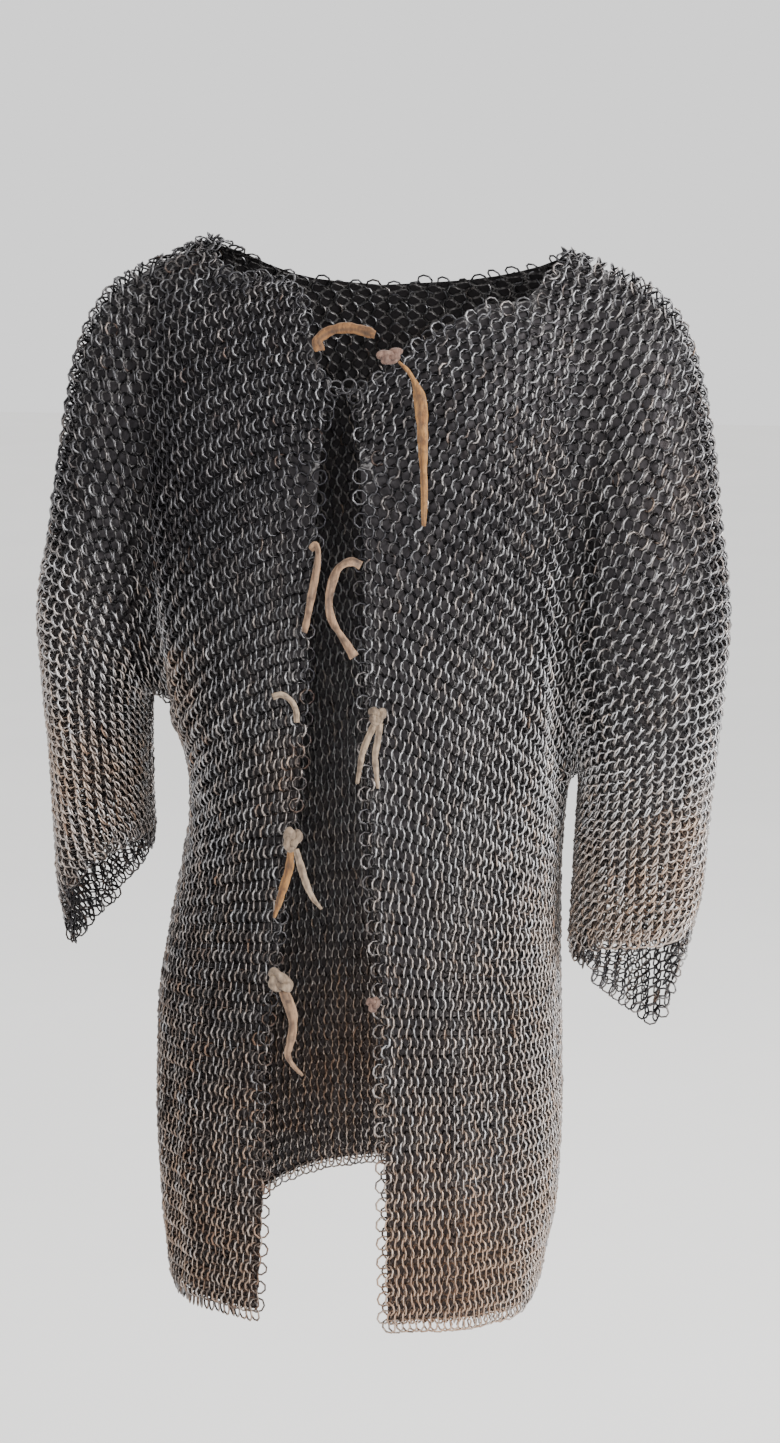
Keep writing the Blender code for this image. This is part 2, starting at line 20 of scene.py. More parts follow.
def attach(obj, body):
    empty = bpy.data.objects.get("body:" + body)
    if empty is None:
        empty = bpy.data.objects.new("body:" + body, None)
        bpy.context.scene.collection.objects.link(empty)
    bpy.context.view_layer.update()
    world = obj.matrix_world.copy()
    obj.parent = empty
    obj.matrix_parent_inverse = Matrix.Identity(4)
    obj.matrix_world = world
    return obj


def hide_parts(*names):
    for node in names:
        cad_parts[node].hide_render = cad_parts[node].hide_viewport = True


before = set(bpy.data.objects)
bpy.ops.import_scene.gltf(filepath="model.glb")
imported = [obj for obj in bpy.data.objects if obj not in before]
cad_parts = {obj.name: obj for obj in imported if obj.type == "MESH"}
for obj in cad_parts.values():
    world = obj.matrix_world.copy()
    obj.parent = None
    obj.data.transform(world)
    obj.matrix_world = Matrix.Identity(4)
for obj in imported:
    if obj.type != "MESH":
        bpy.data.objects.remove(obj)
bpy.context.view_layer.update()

FRONT, BACK = -1, 1
RIGHT, LEFT = -1, 1
SIDE_NAMES = {RIGHT: "right", LEFT: "left"}
FACE_NAMES = {FRONT: "front", BACK: "back"}

# ---- the garment's form: the same sizes as its solids ----
BODY_ROUND = 2.3  # superellipse exponent of the body's level sections, 2 is an ellipse
YOKE_ROUND = 2.2  # the same for the arches that run from chest over shoulder to back
SLEEVE_ROUND = 2.15  # the same for the sleeves' sections
CHEST_LEVEL = -0.250  # height at which chest and back stand out furthest
CHEST_DEPTH = 0.118
BACK_DEPTH = 0.120
ARMHOLE_DEPTH = 0.052  # half the width of an armhole, front to back

Level = namedtuple("Level", "z right_half left_half front_depth back_depth")
BODY_LEVELS = (
    Level(-0.385, 0.1480, 0.1655, 0.1190, 0.1190),
    Level(-0.400, 0.1415, 0.1650, 0.1190, 0.1185),
    Level(-0.420, 0.1375, 0.1625, 0.1185, 0.1180),
    Level(-0.445, 0.1368, 0.1570, 0.1185, 0.1180),
    Level(-0.490, 0.1435, 0.1530, 0.1180, 0.1180),
    Level(-0.550, 0.1560, 0.1525, 0.1195, 0.1190),
    Level(-0.620, 0.1665, 0.1540, 0.1220, 0.1210),
    Level(-0.700, 0.1685, 0.1550, 0.1240, 0.1230),
    Level(-0.780, 0.1655, 0.1510, 0.1255, 0.1240),
    Level(-0.815, 0.1625, 0.1440, 0.1260, 0.1240),
    Level(-0.850, 0.1590, 0.1380, 0.1260, 0.1240),
)
Armhole = namedtuple("Armhole", "notch_z notch_x chest_x top_x")
ARMHOLES = {
    RIGHT: Armhole(-0.374, 0.1550, 0.1650, 0.1680),
    LEFT: Armhole(-0.416, 0.1640, 0.1705, 0.1745),
}
Ridge = namedtuple("Ridge", "x z")
SHOULDERS = {
    RIGHT: (Ridge(0.0, 0.002), Ridge(0.119, 0.003), Ridge(0.155, -0.008), Ridge(0.187, -0.023)),
    LEFT: (Ridge(0.0, 0.002), Ridge(0.158, -0.006), Ridge(0.184, -0.015), Ridge(0.200, -0.022)),
}
NECK_CORNER = {RIGHT: 0.119, LEFT: 0.158}
NeckEdge = namedtuple("NeckEdge", "x z")
NECK_FRONT = {
    RIGHT: (
        NeckEdge(0.004, -0.104),
        NeckEdge(0.018, -0.086),
        NeckEdge(0.029, -0.066),
        NeckEdge(0.033, -0.042),
        NeckEdge(0.042, -0.028),
        NeckEdge(0.058, -0.023),
        NeckEdge(0.086, -0.021),
        NeckEdge(0.106, -0.014),
        NeckEdge(0.119, 0.003),
    ),
    LEFT: (
        NeckEdge(0.009, -0.106),
        NeckEdge(0.027, -0.095),
        NeckEdge(0.052, -0.076),
        NeckEdge(0.068, -0.061),
        NeckEdge(0.090, -0.050),
        NeckEdge(0.102, -0.040),
        NeckEdge(0.128, -0.039),
        NeckEdge(0.142, -0.034),
        NeckEdge(0.151, -0.020),
        NeckEdge(0.158, -0.006),
    ),
}
NECK_BACK = {
    RIGHT: (NeckEdge(0.0, -0.034), NeckEdge(0.055, -0.029), NeckEdge(0.095, -0.015), NeckEdge(0.119, 0.003)),
    LEFT: (NeckEdge(0.0, -0.034), NeckEdge(0.070, -0.029), NeckEdge(0.125, -0.019), NeckEdge(0.158, -0.006)),
}
Opening = namedtuple("Opening", "z right_x left_x")
FRONT_OPENING = (
    Opening(-0.104, 0.004, 0.009),
    Opening(-0.150, 0.012, 0.016),
    Opening(-0.230, 0.015, 0.020),
    Opening(-0.264, 0.021, 0.019),
    Opening(-0.348, 0.023, 0.022),
    Opening(-0.420, 0.031, 0.023),
    Opening(-0.476, 0.040, 0.025),
    Opening(-0.528, 0.046, 0.030),
    Opening(-0.580, 0.053, 0.034),
    Opening(-0.640, 0.058, 0.035),
    Opening(-0.735, 0.060, 0.037),
    Opening(-0.841, 0.066, 0.039),
)
FRONT_EDGE_TOP = {RIGHT: FRONT_OPENING[0].right_x, LEFT: FRONT_OPENING[0].left_x}
HEM_FRONT_Z = -0.843
HEM_SIDE_Z = -0.853
HEM_BACK_Z = -0.790

Section = namedtuple("Section", "outer_x outer_z inner_x inner_z front_depth back_depth")
SLEEVES = {
    RIGHT: (
        Section(0.190, -0.024, 0.1615, -0.3670, 0.060, 0.060),
        Section(0.212, -0.042, 0.1675, -0.3615, 0.064, 0.064),
        Section(0.231, -0.076, 0.1730, -0.3585, 0.067, 0.068),
        Section(0.242, -0.118, 0.1780, -0.3580, 0.068, 0.070),
        Section(0.251, -0.166, 0.1815, -0.3600, 0.068, 0.070),
        Section(0.260, -0.222, 0.1840, -0.3645, 0.067, 0.069),
        Section(0.271, -0.285, 0.1855, -0.3730, 0.065, 0.067),
        Section(0.269, -0.345, 0.1860, -0.3900, 0.062, 0.064),
        Section(0.264, -0.410, 0.1860, -0.4150, 0.059, 0.061),
        Section(0.262, -0.470, 0.1855, -0.4420, 0.056, 0.058),
        Section(0.260, -0.525, 0.1845, -0.4650, 0.053, 0.055),
        Section(0.257, -0.570, 0.1830, -0.4830, 0.050, 0.052),
    ),
    LEFT: (
        Section(0.200, -0.021, 0.1650, -0.4140, 0.060, 0.060),
        Section(0.225, -0.034, 0.1662, -0.4122, 0.064, 0.064),
        Section(0.249, -0.059, 0.1676, -0.4112, 0.068, 0.068),
        Section(0.264, -0.100, 0.1690, -0.4110, 0.070, 0.070),
        Section(0.275, -0.150, 0.1704, -0.4118, 0.070, 0.071),
        Section(0.282, -0.210, 0.1715, -0.4136, 0.069, 0.070),
        Section(0.290, -0.280, 0.1722, -0.4175, 0.067, 0.068),
        Section(0.287, -0.345, 0.1722, -0.4270, 0.064, 0.066),
        Section(0.281, -0.405, 0.1710, -0.4450, 0.061, 0.063),
        Section(0.276, -0.460, 0.1695, -0.4740, 0.058, 0.060),
        Section(0.272, -0.510, 0.1675, -0.5150, 0.055, 0.057),
        Section(0.263, -0.550, 0.1650, -0.5590, 0.052, 0.055),
    ),
}
HemDrop = namedtuple("HemDrop", "angle front back")
SLEEVE_HEMS = {
    RIGHT: (
        HemDrop(0, 0.004, 0.004),
        HemDrop(45, -0.042, 0.006),
        HemDrop(90, -0.036, 0.004),
        HemDrop(135, -0.014, 0.004),
        HemDrop(180, 0.0, 0.0),
    ),
    LEFT: (
        HemDrop(0, -0.012, -0.012),
        HemDrop(40, -0.010, 0.040),
        HemDrop(65, -0.012, 0.078),
        HemDrop(95, -0.014, 0.068),
        HemDrop(130, -0.012, 0.040),
        HemDrop(155, -0.004, 0.018),
        HemDrop(180, 0.004, 0.004),
    ),
}
LIKE_ARMHOLE = 5  # sections over which a sleeve turns from the armhole's outline to its own
# The links stand out of the sleeve's middle surface, so that surface is drawn in a little.
DrawnIn = namedtuple("DrawnIn", "outer inner depth")
SLEEVE_DRAWN_IN = {RIGHT: DrawnIn(0.007, 0.001, 0.002), LEFT: DrawnIn(0.005, 0.005, 0.002)}

# ---- the mail ----
RING = 0.0125  # outer diameter of a ring
WIRE = 0.0014  # diameter of its wire
RING_FACETS = 8  # round the ring
WIRE_FACETS = 3  # round the wire
# Degrees by which a ring leans, each row the other way, by how far apart the columns lie: where the
# mail is drawn together its rings stand on edge, where it is spread they lie nearly flat.
Lean = namedtuple("Lean", "spacing degrees")
LEANS = (Lean(0.0055, 66.0), Lean(0.0070, 53.0), Lean(0.0080, 43.0), Lean(0.0100, 28.0), Lean(0.0120, 18.0))
SLEEVE_LEAN = 54.0  # at least this much on a sleeve, from a few columns before its seam
SLEEVE_EASING = 4  # columns before and after the armhole seam over which that comes in
PITCH_EASING = 20  # columns over which the spacing turns from the body's to the sleeve's
HANGING = 1.5  # how much more a ring's long way follows gravity than its column
LEAN_SPREAD = 4.0  # degrees, how unevenly
TILT_SPREAD = 5.0  # degrees, the same for its tilt across the row
SIDE_STEP = 0.0004  # how far a row sits towards the side its rings lean out on
PLACE_SPREAD = 0.00025  # how unevenly rings lie
SIZE_SPREAD = 0.015  # how unevenly big they are, as a share
CORNERS_PER_LINK = RING_FACETS * WIRE_FACETS
TILE_MARGIN = 0.08  # left free at each side of a link's tile in its UV map
TILE_SIZE = 0.84  # the rest
LINK_REACH = 0.515  # radius of a faceted link that looks as wide as a round one of diameter 1
WIRE_REACH = 1.32  # radius of a three-sided wire that looks as thick as a round one of radius 1
ROWS_TO_HEM = 111  # ring rows from the shoulder line down the body to the hem
ROWS_UNDER_ARM = {RIGHT: 38, LEFT: 41}  # from the shoulder line down to the armpit
RINGS_ROUND = {RIGHT: 65, LEFT: 68}  # from front edge round the side seam to the middle of the back

# Where the rows point: their fall below level, at the armhole, by height. It fades to level at
# the front edge and the middle of the back.
Fall = namedtuple("Fall", "z degrees")
ROW_FALL = (
    Fall(-0.900, 0),
    Fall(-0.650, 2),
    Fall(-0.560, 9),
    Fall(-0.500, 22),
    Fall(-0.450, 38),
    Fall(-0.400, 52),
    Fall(-0.300, 60),
    Fall(-0.200, 56),
    Fall(-0.100, 46),
    Fall(-0.050, 34),
    Fall(0.010, 20),
)

COLUMN_SHARE = 0.20  # of the rows' fall that the columns across them turn by, over the chest
COLUMN_TURN_FROM = 0.6  # of the way out to the armhole, past which they turn more, and at last by all of it
ROW_FALL_BUILDS = 0.72  # power by which the rows' fall grows from the middle out
COLUMN_FALL_BUILDS = 1.1  # the same for the columns'
FALL_FADES = 1.6  # sleeve sections over which the fall at the armhole dies away
BEARING_WIDTH = 0.155  # half the body's width, for the way round it
BEARING_TOP = -0.15  # below this the rows begin to turn from sideways to round the body,
BEARING_HEIGHT = 0.15  # and this much lower they follow it

# How far apart rings lie on the body: along their row, and from row to row, by height.
Pitch = namedtuple("Pitch", "z along across")
BODY_PITCH = (
    Pitch(-0.860, 0.0064, 0.0076),
    Pitch(-0.600, 0.0062, 0.0072),
    Pitch(-0.450, 0.0064, 0.0062),
    Pitch(-0.350, 0.0067, 0.0058),
    Pitch(-0.250, 0.0072, 0.0058),
    Pitch(-0.120, 0.0072, 0.0062),
    Pitch(0.000, 0.0072, 0.0068),
)
SLEEVE_ALONG_OUTSIDE = 0.0066  # down the outside of a sleeve
SLEEVE_ALONG_INSIDE = 0.0085
SLEEVE_ACROSS = 0.0060
SHOULDER_JOIN = 14  # columns down the sleeve from which the rings of front and back keep step
CUT_ROWS = 18  # grid rows below the neck's point where the front edge cuts across the rings' columns
EDGE_REACH = 0.010  # rings this near an open edge hang looser, and turn to face outwards
EDGE_LEAN = 0.35  # of the full lean, right at the edge

# ---- folds: troughs pressed into the mail, on lines of x and z as seen from the front ----
TROUGH_FADE = 0.3  # of a trough's length, over which it fades at each end
Trough = namedtuple("Trough", "side face depth width line")
FOLDS = (
    # the deep valley where each sleeve meets the chest
    Trough(LEFT, FRONT, 0.0110, 0.0130, ((0.178, -0.140), (0.172, -0.230), (0.168, -0.320), (0.165, -0.470))),
    Trough(RIGHT, FRONT, 0.0090, 0.0120,
           ((-0.170, -0.130), (-0.168, -0.220), (-0.163, -0.300), (-0.156, -0.430))),
    # gathers from the armpits
    Trough(LEFT, FRONT, 0.0040, 0.0090, ((0.158, -0.400), (0.128, -0.372), (0.098, -0.356))),
    Trough(LEFT, FRONT, 0.0034, 0.0080, ((0.152, -0.438), (0.118, -0.424), (0.078, -0.425))),
    Trough(LEFT, FRONT, 0.0030, 0.0090, ((0.148, -0.470), (0.118, -0.478), (0.090, -0.500))),
    Trough(RIGHT, FRONT, 0.0038, 0.0085, ((-0.148, -0.370), (-0.118, -0.338), (-0.094, -0.318))),
    Trough(RIGHT, FRONT, 0.0036, 0.0090, ((-0.138, -0.400), (-0.108, -0.384), (-0.074, -0.380))),
    Trough(RIGHT, FRONT, 0.0028, 0.0080, ((-0.130, -0.440), (-0.104, -0.448), (-0.080, -0.470))),
    # the skirt's slow waves
    Trough(RIGHT, FRONT, 0.0034, 0.0140, ((-0.104, -0.560), (-0.100, -0.700), (-0.108, -0.900))),
    Trough(RIGHT, FRONT, 0.0040, 0.0110, ((-0.140, -0.600), (-0.143, -0.740), (-0.138, -0.900))),
    Trough(LEFT, FRONT, 0.0030, 0.0130, ((0.070, -0.600), (0.074, -0.720), (0.066, -0.900))),
    Trough(LEFT, FRONT, 0.0038, 0.0120, ((0.112, -0.530), (0.110, -0.680), (0.116, -0.900))),
    # sleeve creases
    Trough(LEFT, FRONT, 0.0030, 0.0080, ((0.180, -0.372), (0.215, -0.352), (0.262, -0.350))),
    Trough(LEFT, FRONT, 0.0026, 0.0090, ((0.176, -0.450), (0.212, -0.424), (0.268, -0.415))),
    Trough(LEFT, FRONT, 0.0026, 0.0080, ((0.185, -0.250), (0.215, -0.215), (0.250, -0.170))),
    Trough(RIGHT, FRONT, 0.0028, 0.0080, ((-0.186, -0.330), (-0.215, -0.312), (-0.255, -0.318))),
    Trough(RIGHT, FRONT, 0.0026, 0.0090, ((-0.190, -0.415), (-0.222, -0.395), (-0.256, -0.398))),
    Trough(RIGHT, FRONT, 0.0026, 0.0080, ((-0.180, -0.240), (-0.205, -0.200), (-0.235, -0.160))),
    # the same kinds of folds on the back
    Trough(LEFT, BACK, 0.0080, 0.0130, ((0.176, -0.130), (0.172, -0.230), (0.168, -0.330), (0.165, -0.470))),
    Trough(RIGHT, BACK, 0.0080, 0.0120,
           ((-0.168, -0.120), (-0.166, -0.220), (-0.162, -0.310), (-0.156, -0.430))),
    Trough(LEFT, BACK, 0.0036, 0.0090, ((0.154, -0.410), (0.120, -0.385), (0.084, -0.372))),
    Trough(RIGHT, BACK, 0.0034, 0.0090, ((-0.140, -0.385), (-0.108, -0.362), (-0.072, -0.356))),
    Trough(LEFT, BACK, 0.0034, 0.0140, ((0.050, -0.480), (0.056, -0.640), (0.048, -0.860))),
    Trough(LEFT, BACK, 0.0040, 0.0120, ((0.106, -0.560), (0.104, -0.700), (0.112, -0.900))),
    Trough(RIGHT, BACK, 0.0032, 0.0130, ((-0.040, -0.540), (-0.036, -0.680), (-0.044, -0.860))),
    Trough(RIGHT, BACK, 0.0040, 0.0120, ((-0.116, -0.500), (-0.112, -0.680), (-0.120, -0.900))),
    Trough(LEFT, BACK, 0.0028, 0.0080, ((0.182, -0.350), (0.220, -0.330), (0.262, -0.335))),
    Trough(RIGHT, BACK, 0.0028, 0.0080, ((-0.188, -0.345), (-0.222, -0.325), (-0.255, -0.330))),
)

# ---- leather ties: the routes of their solids, with the cut of each strip ----
AMBER, GOLDEN, TAN, CREAM, PINK = "amber", "golden", "tan", "cream", "pink"
Tie = namedtuple("Tie", "name leather thickness widths turns far_end knots points")
TIES = (
    Tie("neck_strap", AMBER, 0.0030, (0.0085, 0.0078, 0.0085, 0.0070, 0.0085, 0.0082, 0.0085, 0.0066),
        (40, -15, 10, -20, 15), "knot", ("neck_knot",), (
        (-0.015, -0.100, -0.077), (-0.018, -0.097, -0.070), (-0.012, -0.095, -0.064),
        (-0.004, -0.094, -0.061), (0.006, -0.093, -0.060), (0.017, -0.094, -0.062),
        (0.026, -0.095, -0.065),
    )),
    Tie("neck_lace", GOLDEN, 0.0020,
        (0.0030, 0.0032, 0.0034, 0.0090, 0.0098, 0.0094, 0.0080, 0.0068, 0.0060, 0.0052, 0.0030),
        (40, 5, -12, 20, -15), "bare", (), (
        (0.046, -0.106, -0.084), (0.054, -0.108, -0.091), (0.060, -0.110, -0.101),
        (0.064, -0.113, -0.113), (0.066, -0.116, -0.127), (0.067, -0.119, -0.143),
        (0.068, -0.122, -0.160), (0.069, -0.123, -0.180), (0.069, -0.124, -0.205),
    )),
    Tie("upper_right_lace", TAN, 0.0022, (0.0050, 0.0065, 0.0065, 0.0055, 0.0050), (0, 50, -20, 20),
        "bare", (), (
        (-0.018, -0.124, -0.225), (-0.014, -0.125, -0.2215), (-0.012, -0.126, -0.228),
        (-0.014, -0.126, -0.244), (-0.017, -0.126, -0.260), (-0.020, -0.126, -0.275),
        (-0.023, -0.126, -0.288),
    )),
    Tie("upper_left_loop", TAN, 0.0022, (0.0070, 0.0080, 0.0060, 0.0075, 0.0070), (25, 55, -45, 50, -30),
        "object", (), (
        (0.021, -0.124, -0.236), (0.015, -0.125, -0.233), (0.009, -0.125, -0.234),
        (0.003, -0.125, -0.239), (-0.001, -0.125, -0.249), (-0.0035, -0.125, -0.262),
        (-0.003, -0.125, -0.273), (0.000, -0.125, -0.282), (0.006, -0.125, -0.291),
        (0.012, -0.125, -0.300), (0.016, -0.125, -0.306),
    )),
    Tie("middle_right_stub", CREAM, 0.0022, (0.0050, 0.0052, 0.0045), (0, 30, 0), "bare", (), (
        (-0.048, -0.125, -0.339), (-0.041, -0.126, -0.337), (-0.034, -0.126, -0.341),
        (-0.030, -0.126, -0.348), (-0.029, -0.126, -0.358),
    )),
    Tie("middle_left_end_long", CREAM, 0.0022, (0.0050, 0.0056, 0.0044, 0.0026), (0, 20, -20), "bare",
        ("middle_left_knot",), (
        (0.032, -0.127, -0.356), (0.026, -0.126, -0.369), (0.022, -0.126, -0.380),
        (0.020, -0.126, -0.392), (0.018, -0.126, -0.404),
    )),
    Tie("middle_left_end_short", CREAM, 0.0022, (0.0050, 0.0052, 0.0044, 0.0026), (0, -20, 20), "bare", (), (
        (0.036, -0.127, -0.356), (0.034, -0.126, -0.370), (0.032, -0.126, -0.382),
        (0.033, -0.126, -0.395), (0.034, -0.126, -0.407),
    )),
    Tie("lower_right_end_long", GOLDEN, 0.0022, (0.0050, 0.0070, 0.0075, 0.0056, 0.0022), (0, 20, 10), "bare",
        ("lower_right_knot",), (
        (-0.034, -0.128, -0.457), (-0.036, -0.125, -0.473), (-0.040, -0.125, -0.486),
        (-0.044, -0.126, -0.500), (-0.048, -0.126, -0.513),
    )),
    Tie("lower_right_end_curved", CREAM, 0.0022, (0.0050, 0.0060, 0.0052, 0.0040, 0.0020), (0, -25, 0),
        "bare", (), (
        (-0.030, -0.128, -0.457), (-0.026, -0.125, -0.474), (-0.022, -0.125, -0.486),
        (-0.017, -0.126, -0.496), (-0.010, -0.127, -0.504),
    )),
    Tie("bottom_right_end", TAN, 0.0024, (0.0090, 0.0095, 0.0074, 0.0066, 0.0048, 0.0034, 0.0022),
        (0, 25, -15, 10), "bare", ("bottom_right_knot",), (
        (-0.040, -0.130, -0.570), (-0.034, -0.129, -0.588), (-0.033, -0.130, -0.600),
        (-0.035, -0.130, -0.612), (-0.037, -0.130, -0.622), (-0.032, -0.130, -0.631),
        (-0.025, -0.130, -0.638),
    )),
)
Knot = namedtuple("Knot", "name leather centre size tilt")
KNOTS = (
    Knot("neck_knot", PINK, (0.039, -0.1035, -0.080), (0.023, 0.011, 0.014), -12),
    Knot("middle_left_knot", CREAM, (0.034, -0.1290, -0.350), (0.016, 0.012, 0.017), 10),
    Knot("lower_right_knot", CREAM, (-0.033, -0.1285, -0.449), (0.017, 0.012, 0.023), 15),
    Knot("bottom_right_knot", CREAM, (-0.043, -0.1305, -0.562), (0.026, 0.013, 0.019), 40),
    Knot("bottom_left_knot", PINK, (0.031, -0.1290, -0.577), (0.013, 0.010, 0.014), 0),
)
CREASE_ACROSS = 0.3  # a strip is folded along a line between its middle and one edge
CREASE_DEPTH = 0.5  # of half the strip's thickness
CREASE_WIDTH = 0.22  # of half the strip's width
SECTION_SQUARE = 0.7  # below 1 the strip's section is squarer than an ellipse
END_TAPER = 0.06  # of a strip's length, over which its ends thin
END_THICKNESS = 0.35  # how much of its thickness is left there
ROUTE_STEPS = 8  # points of a strip for each point of its route
STRIP_FACETS = 20  # round a strip
CUPPING = 0.24  # how far a strip curls across, as a share of half its width
KNOT_STEPS = 64  # along a knot's thong
KNOT_FACETS = 10  # round it
KNOT_THICKNESS = 0.35  # of the thong in a knot, as a share of half the knot's size

# ---- wear, and painted light and shade ----
Spot = namedtuple("Spot", "centre radius amount")
RUST = (  # where rust shows: the left front's bottom, the sleeves' ends, and patches
    Spot((0.000, 0.000, -0.950), 0.420, 0.26),
    Spot((0.100, -0.120, -0.830), 0.080, 0.34),
    Spot((0.060, -0.120, -0.780), 0.050, 0.16),
    Spot((-0.110, -0.110, -0.800), 0.070, 0.14),
    Spot((0.230, -0.050, -0.520), 0.070, 0.26),
    Spot((0.255, -0.035, -0.450), 0.035, 0.16),
    Spot((-0.230, -0.050, -0.430), 0.080, 0.26),
    Spot((-0.136, -0.070, -0.340), 0.035, 0.25),
    Spot((-0.030, -0.120, -0.404), 0.040, 0.22),
    Spot((0.261, -0.050, -0.190), 0.050, 0.18),
    Spot((0.157, -0.090, -0.165), 0.035, 0.20),
    Spot((-0.250, -0.010, -0.300), 0.060, 0.20),
    Spot((-0.060, 0.120, -0.700), 0.090, 0.25),
    Spot((0.090, 0.115, -0.560), 0.070, 0.18),
    Spot((-0.110, -0.110, -0.680), 0.170, 0.10),
    Spot((0.110, -0.110, -0.640), 0.150, 0.06),
    Spot((0.020, 0.110, -0.160), 0.080, 0.15),
)
TONE_AND_PAINTED_LIGHT = (  # how much lighter or darker than the middle tone: partly the mail's own patchy tone, partly painted shade over its right side (-X), which faces away from the window light
    Spot((0.0, 0.0, -0.4), 5.0, 0.46),
    Spot((-0.120, -0.080, -0.160), 0.170, -0.44),
    Spot((-0.240, -0.020, -0.220), 0.120, -0.12),
    Spot((-0.130, -0.110, -0.580), 0.240, -0.38),
    Spot((-0.130, -0.110, -0.700), 0.110, 0.09),
    Spot((-0.240, -0.040, -0.380), 0.090, -0.04),
    Spot((0.110, -0.110, -0.840), 0.130, 0.40),
    Spot((0.240, -0.040, -0.460), 0.120, 0.42),
    Spot((-0.240, -0.040, -0.450), 0.080, 0.34),
    Spot((0.090, -0.120, -0.750), 0.160, 0.16),
    Spot((0.110, -0.110, -0.520), 0.190, 0.08),
    Spot((0.010, 0.120, -0.450), 0.220, 0.25),
    Spot((0.130, -0.090, -0.190), 0.180, -0.15),
    Spot((0.260, -0.020, -0.300), 0.100, -0.08),
    Spot((-0.260, -0.030, -0.310), 0.110, 0.40),
)
RING_TONE_SPREAD = 0.10  # each ring's own part of its tone and rust
LINK_STANDS = 0.0046  # how far a link's raised side stands out of the mail
UNDER_LINK_WIDE = 0.42  # half a link's width and height in the web, counted in ring places and rows
UNDER_LINK_HIGH = 0.70

# ---- the webs under the rings, the cloth that each stands for, and the joining links ----
WEB_DEPTH = 0.0034  # how far the web lies inside the middle of the links
WEB_DEPTH_BACK = 0.0004  # the same on the back, whose inner side shows in the front opening
SEAM_COLUMNS = 7  # over so many columns and rows the back's web goes in to meet the others
SEAM_ROWS = 5
WEB_END_RAGGED = 0.006  # how far up and down a web's end on a sleeve wanders
WEB_SLEEVE_END = {RIGHT: -0.455, LEFT: -0.500}  # below these heights a sleeve is open net
WEB_END_DRAWN_IN = 0.4  # of the surface's last row, by which a web stops short of hem and neck
WEB_EDGE_DRAWN_IN = 0.5  # of its first column, by which it stops short of the front edge
WEB_MERGE = 0.0012  # web points nearer than this are one
# flat is the panel's greatest width and length, laid flat, and area what it covers
Cut = namedtuple("Cut", "node faces is_sleeve flat area links")
CUTS = (
    Cut("right_front", ((RIGHT, FRONT),), False, (0.18, 0.90), 0.149, ("right_front",)),
    Cut("left_front", ((LEFT, FRONT),), False, (0.20, 0.88), 0.150, ("left_front",)),
    Cut("back", ((RIGHT, BACK), (LEFT, BACK)), False, (0.47, 0.88), 0.342, ("back_right", "back_left")),
    Cut("right_sleeve", ((RIGHT, FRONT), (RIGHT, BACK)), True, (0.38, 0.59), 0.142, ("right_sleeve",)),
    Cut("left_sleeve", ((LEFT, FRONT), (LEFT, BACK)), True, (0.41, 0.57), 0.173, ("left_sleeve",)),
)
Patch = namedtuple("Patch", "key rows columns lowest")
LinkRing = namedtuple("LinkRing", "centre facing")
LINK_RINGS = (  # four links that join the fronts at the neck's point
    LinkRing((-0.0020, -0.1060, -0.1044), (0.10, -1.00, 0.15)),
    LinkRing((0.0034, -0.1055, -0.1065), (0.10, -0.20, 1.00)),
    LinkRing((0.0085, -0.1065, -0.1030), (0.25, -1.00, 0.10)),
    LinkRing((0.0140, -0.1090, -0.1106), (-0.45, -1.00, 0.20)),
)
LINK_RING_STEPS = 32
LINK_WIRE_STEPS = 8
JOINING_LINKS_LOOK = (("rust", 0.05), ("tone_and_painted_light", 0.08), ("height", 0.002))

# ---- colours, sRGB ----
# links: dark to mid by tone and by how far a link stands out, which paints shade and light; bright is the
# painted highlight on the raised side, with rubbing as well
IRON_DARK, IRON_MID, IRON_BRIGHT = "#2b2a2d", "#757476", "#bab9ba"
TARNISH = "#ffe0c4"
# the web: its dark and pale are painted shade between the links, its mid and bright the backs of links,
# painted in that shade
WEB_DARK, WEB_PALE, WEB_MID, WEB_BRIGHT = "#222123", "#454243", "#676566", "#9b9896"
RUST_DARK, RUST_BRIGHT = "#5a4030", "#a5806a"
WEB_RUST_DARK, WEB_RUST_BRIGHT = "#3a2c24", "#84654f"

# ---- the view and the light ----
CAMERA_PLACE = (0.47213, -2.33078, 0.08203)
CAMERA_AZIMUTH = 11.0
CAMERA_ELEVATION = 11.0
CAMERA_LENS = 75.16
FLOOR_Z = -1.45  # the ground under someone who wears it, from the shoulders down
WHITE = (1.0, 1.0, 1.0)
ROOM_LIGHT = 1.3
LIGHTS = (  # name, place, side and watts of each panel
    ("window", (2.4, -1.7, 0.9), 1.1, 160.0),
    ("fill", (0.1, -2.9, -0.2), 1.2, 34.0),
    ("behind", (0.8, 2.4, 1.6), 1.6, 45.0),
)

# ---- how finely the surfaces are worked out ----
SKIRT_STEPS = 72  # rows from the hem to the armpit
ARMHOLE_STEPS = 26  # rows from the armpit to chest level
YOKE_STEPS = 40  # rows from there to the shoulder line
FRONT_STEPS = {RIGHT: 20, LEFT: 25}  # columns from the front edge to the neck's corner
BACK_STEPS = {RIGHT: 20, LEFT: 25}
SHOULDER_STEPS = {RIGHT: 14, LEFT: 9}  # columns from the neck's corner to the armhole
SLEEVE_STEPS = 84  # columns from the armhole to a sleeve's end
HEM_CROWDING = 0.95  # below 1 the rows lie a little closer together towards the armhole
WEB_THINNING = 3  # one web point for every few of the surface's
NEAREST_RINGS = 0.0032  # a ring nearer to another than this is left out
FINE_COLUMNS = 4001  # places on a level line from which the columns are looked up

# The crease at the armhole seam is eased between these columns before and after it, fully so from
# some columns further in, and above some rows over the armpit.
SEAM_EASING = 30  # times
EASED_BEFORE, EASED_AFTER = 8, 13
EASED_FULLY_IN, EASED_FULLY_OUT = 6, 9
EASED_ABOVE, EASED_FULLY_ABOVE = 3, 8

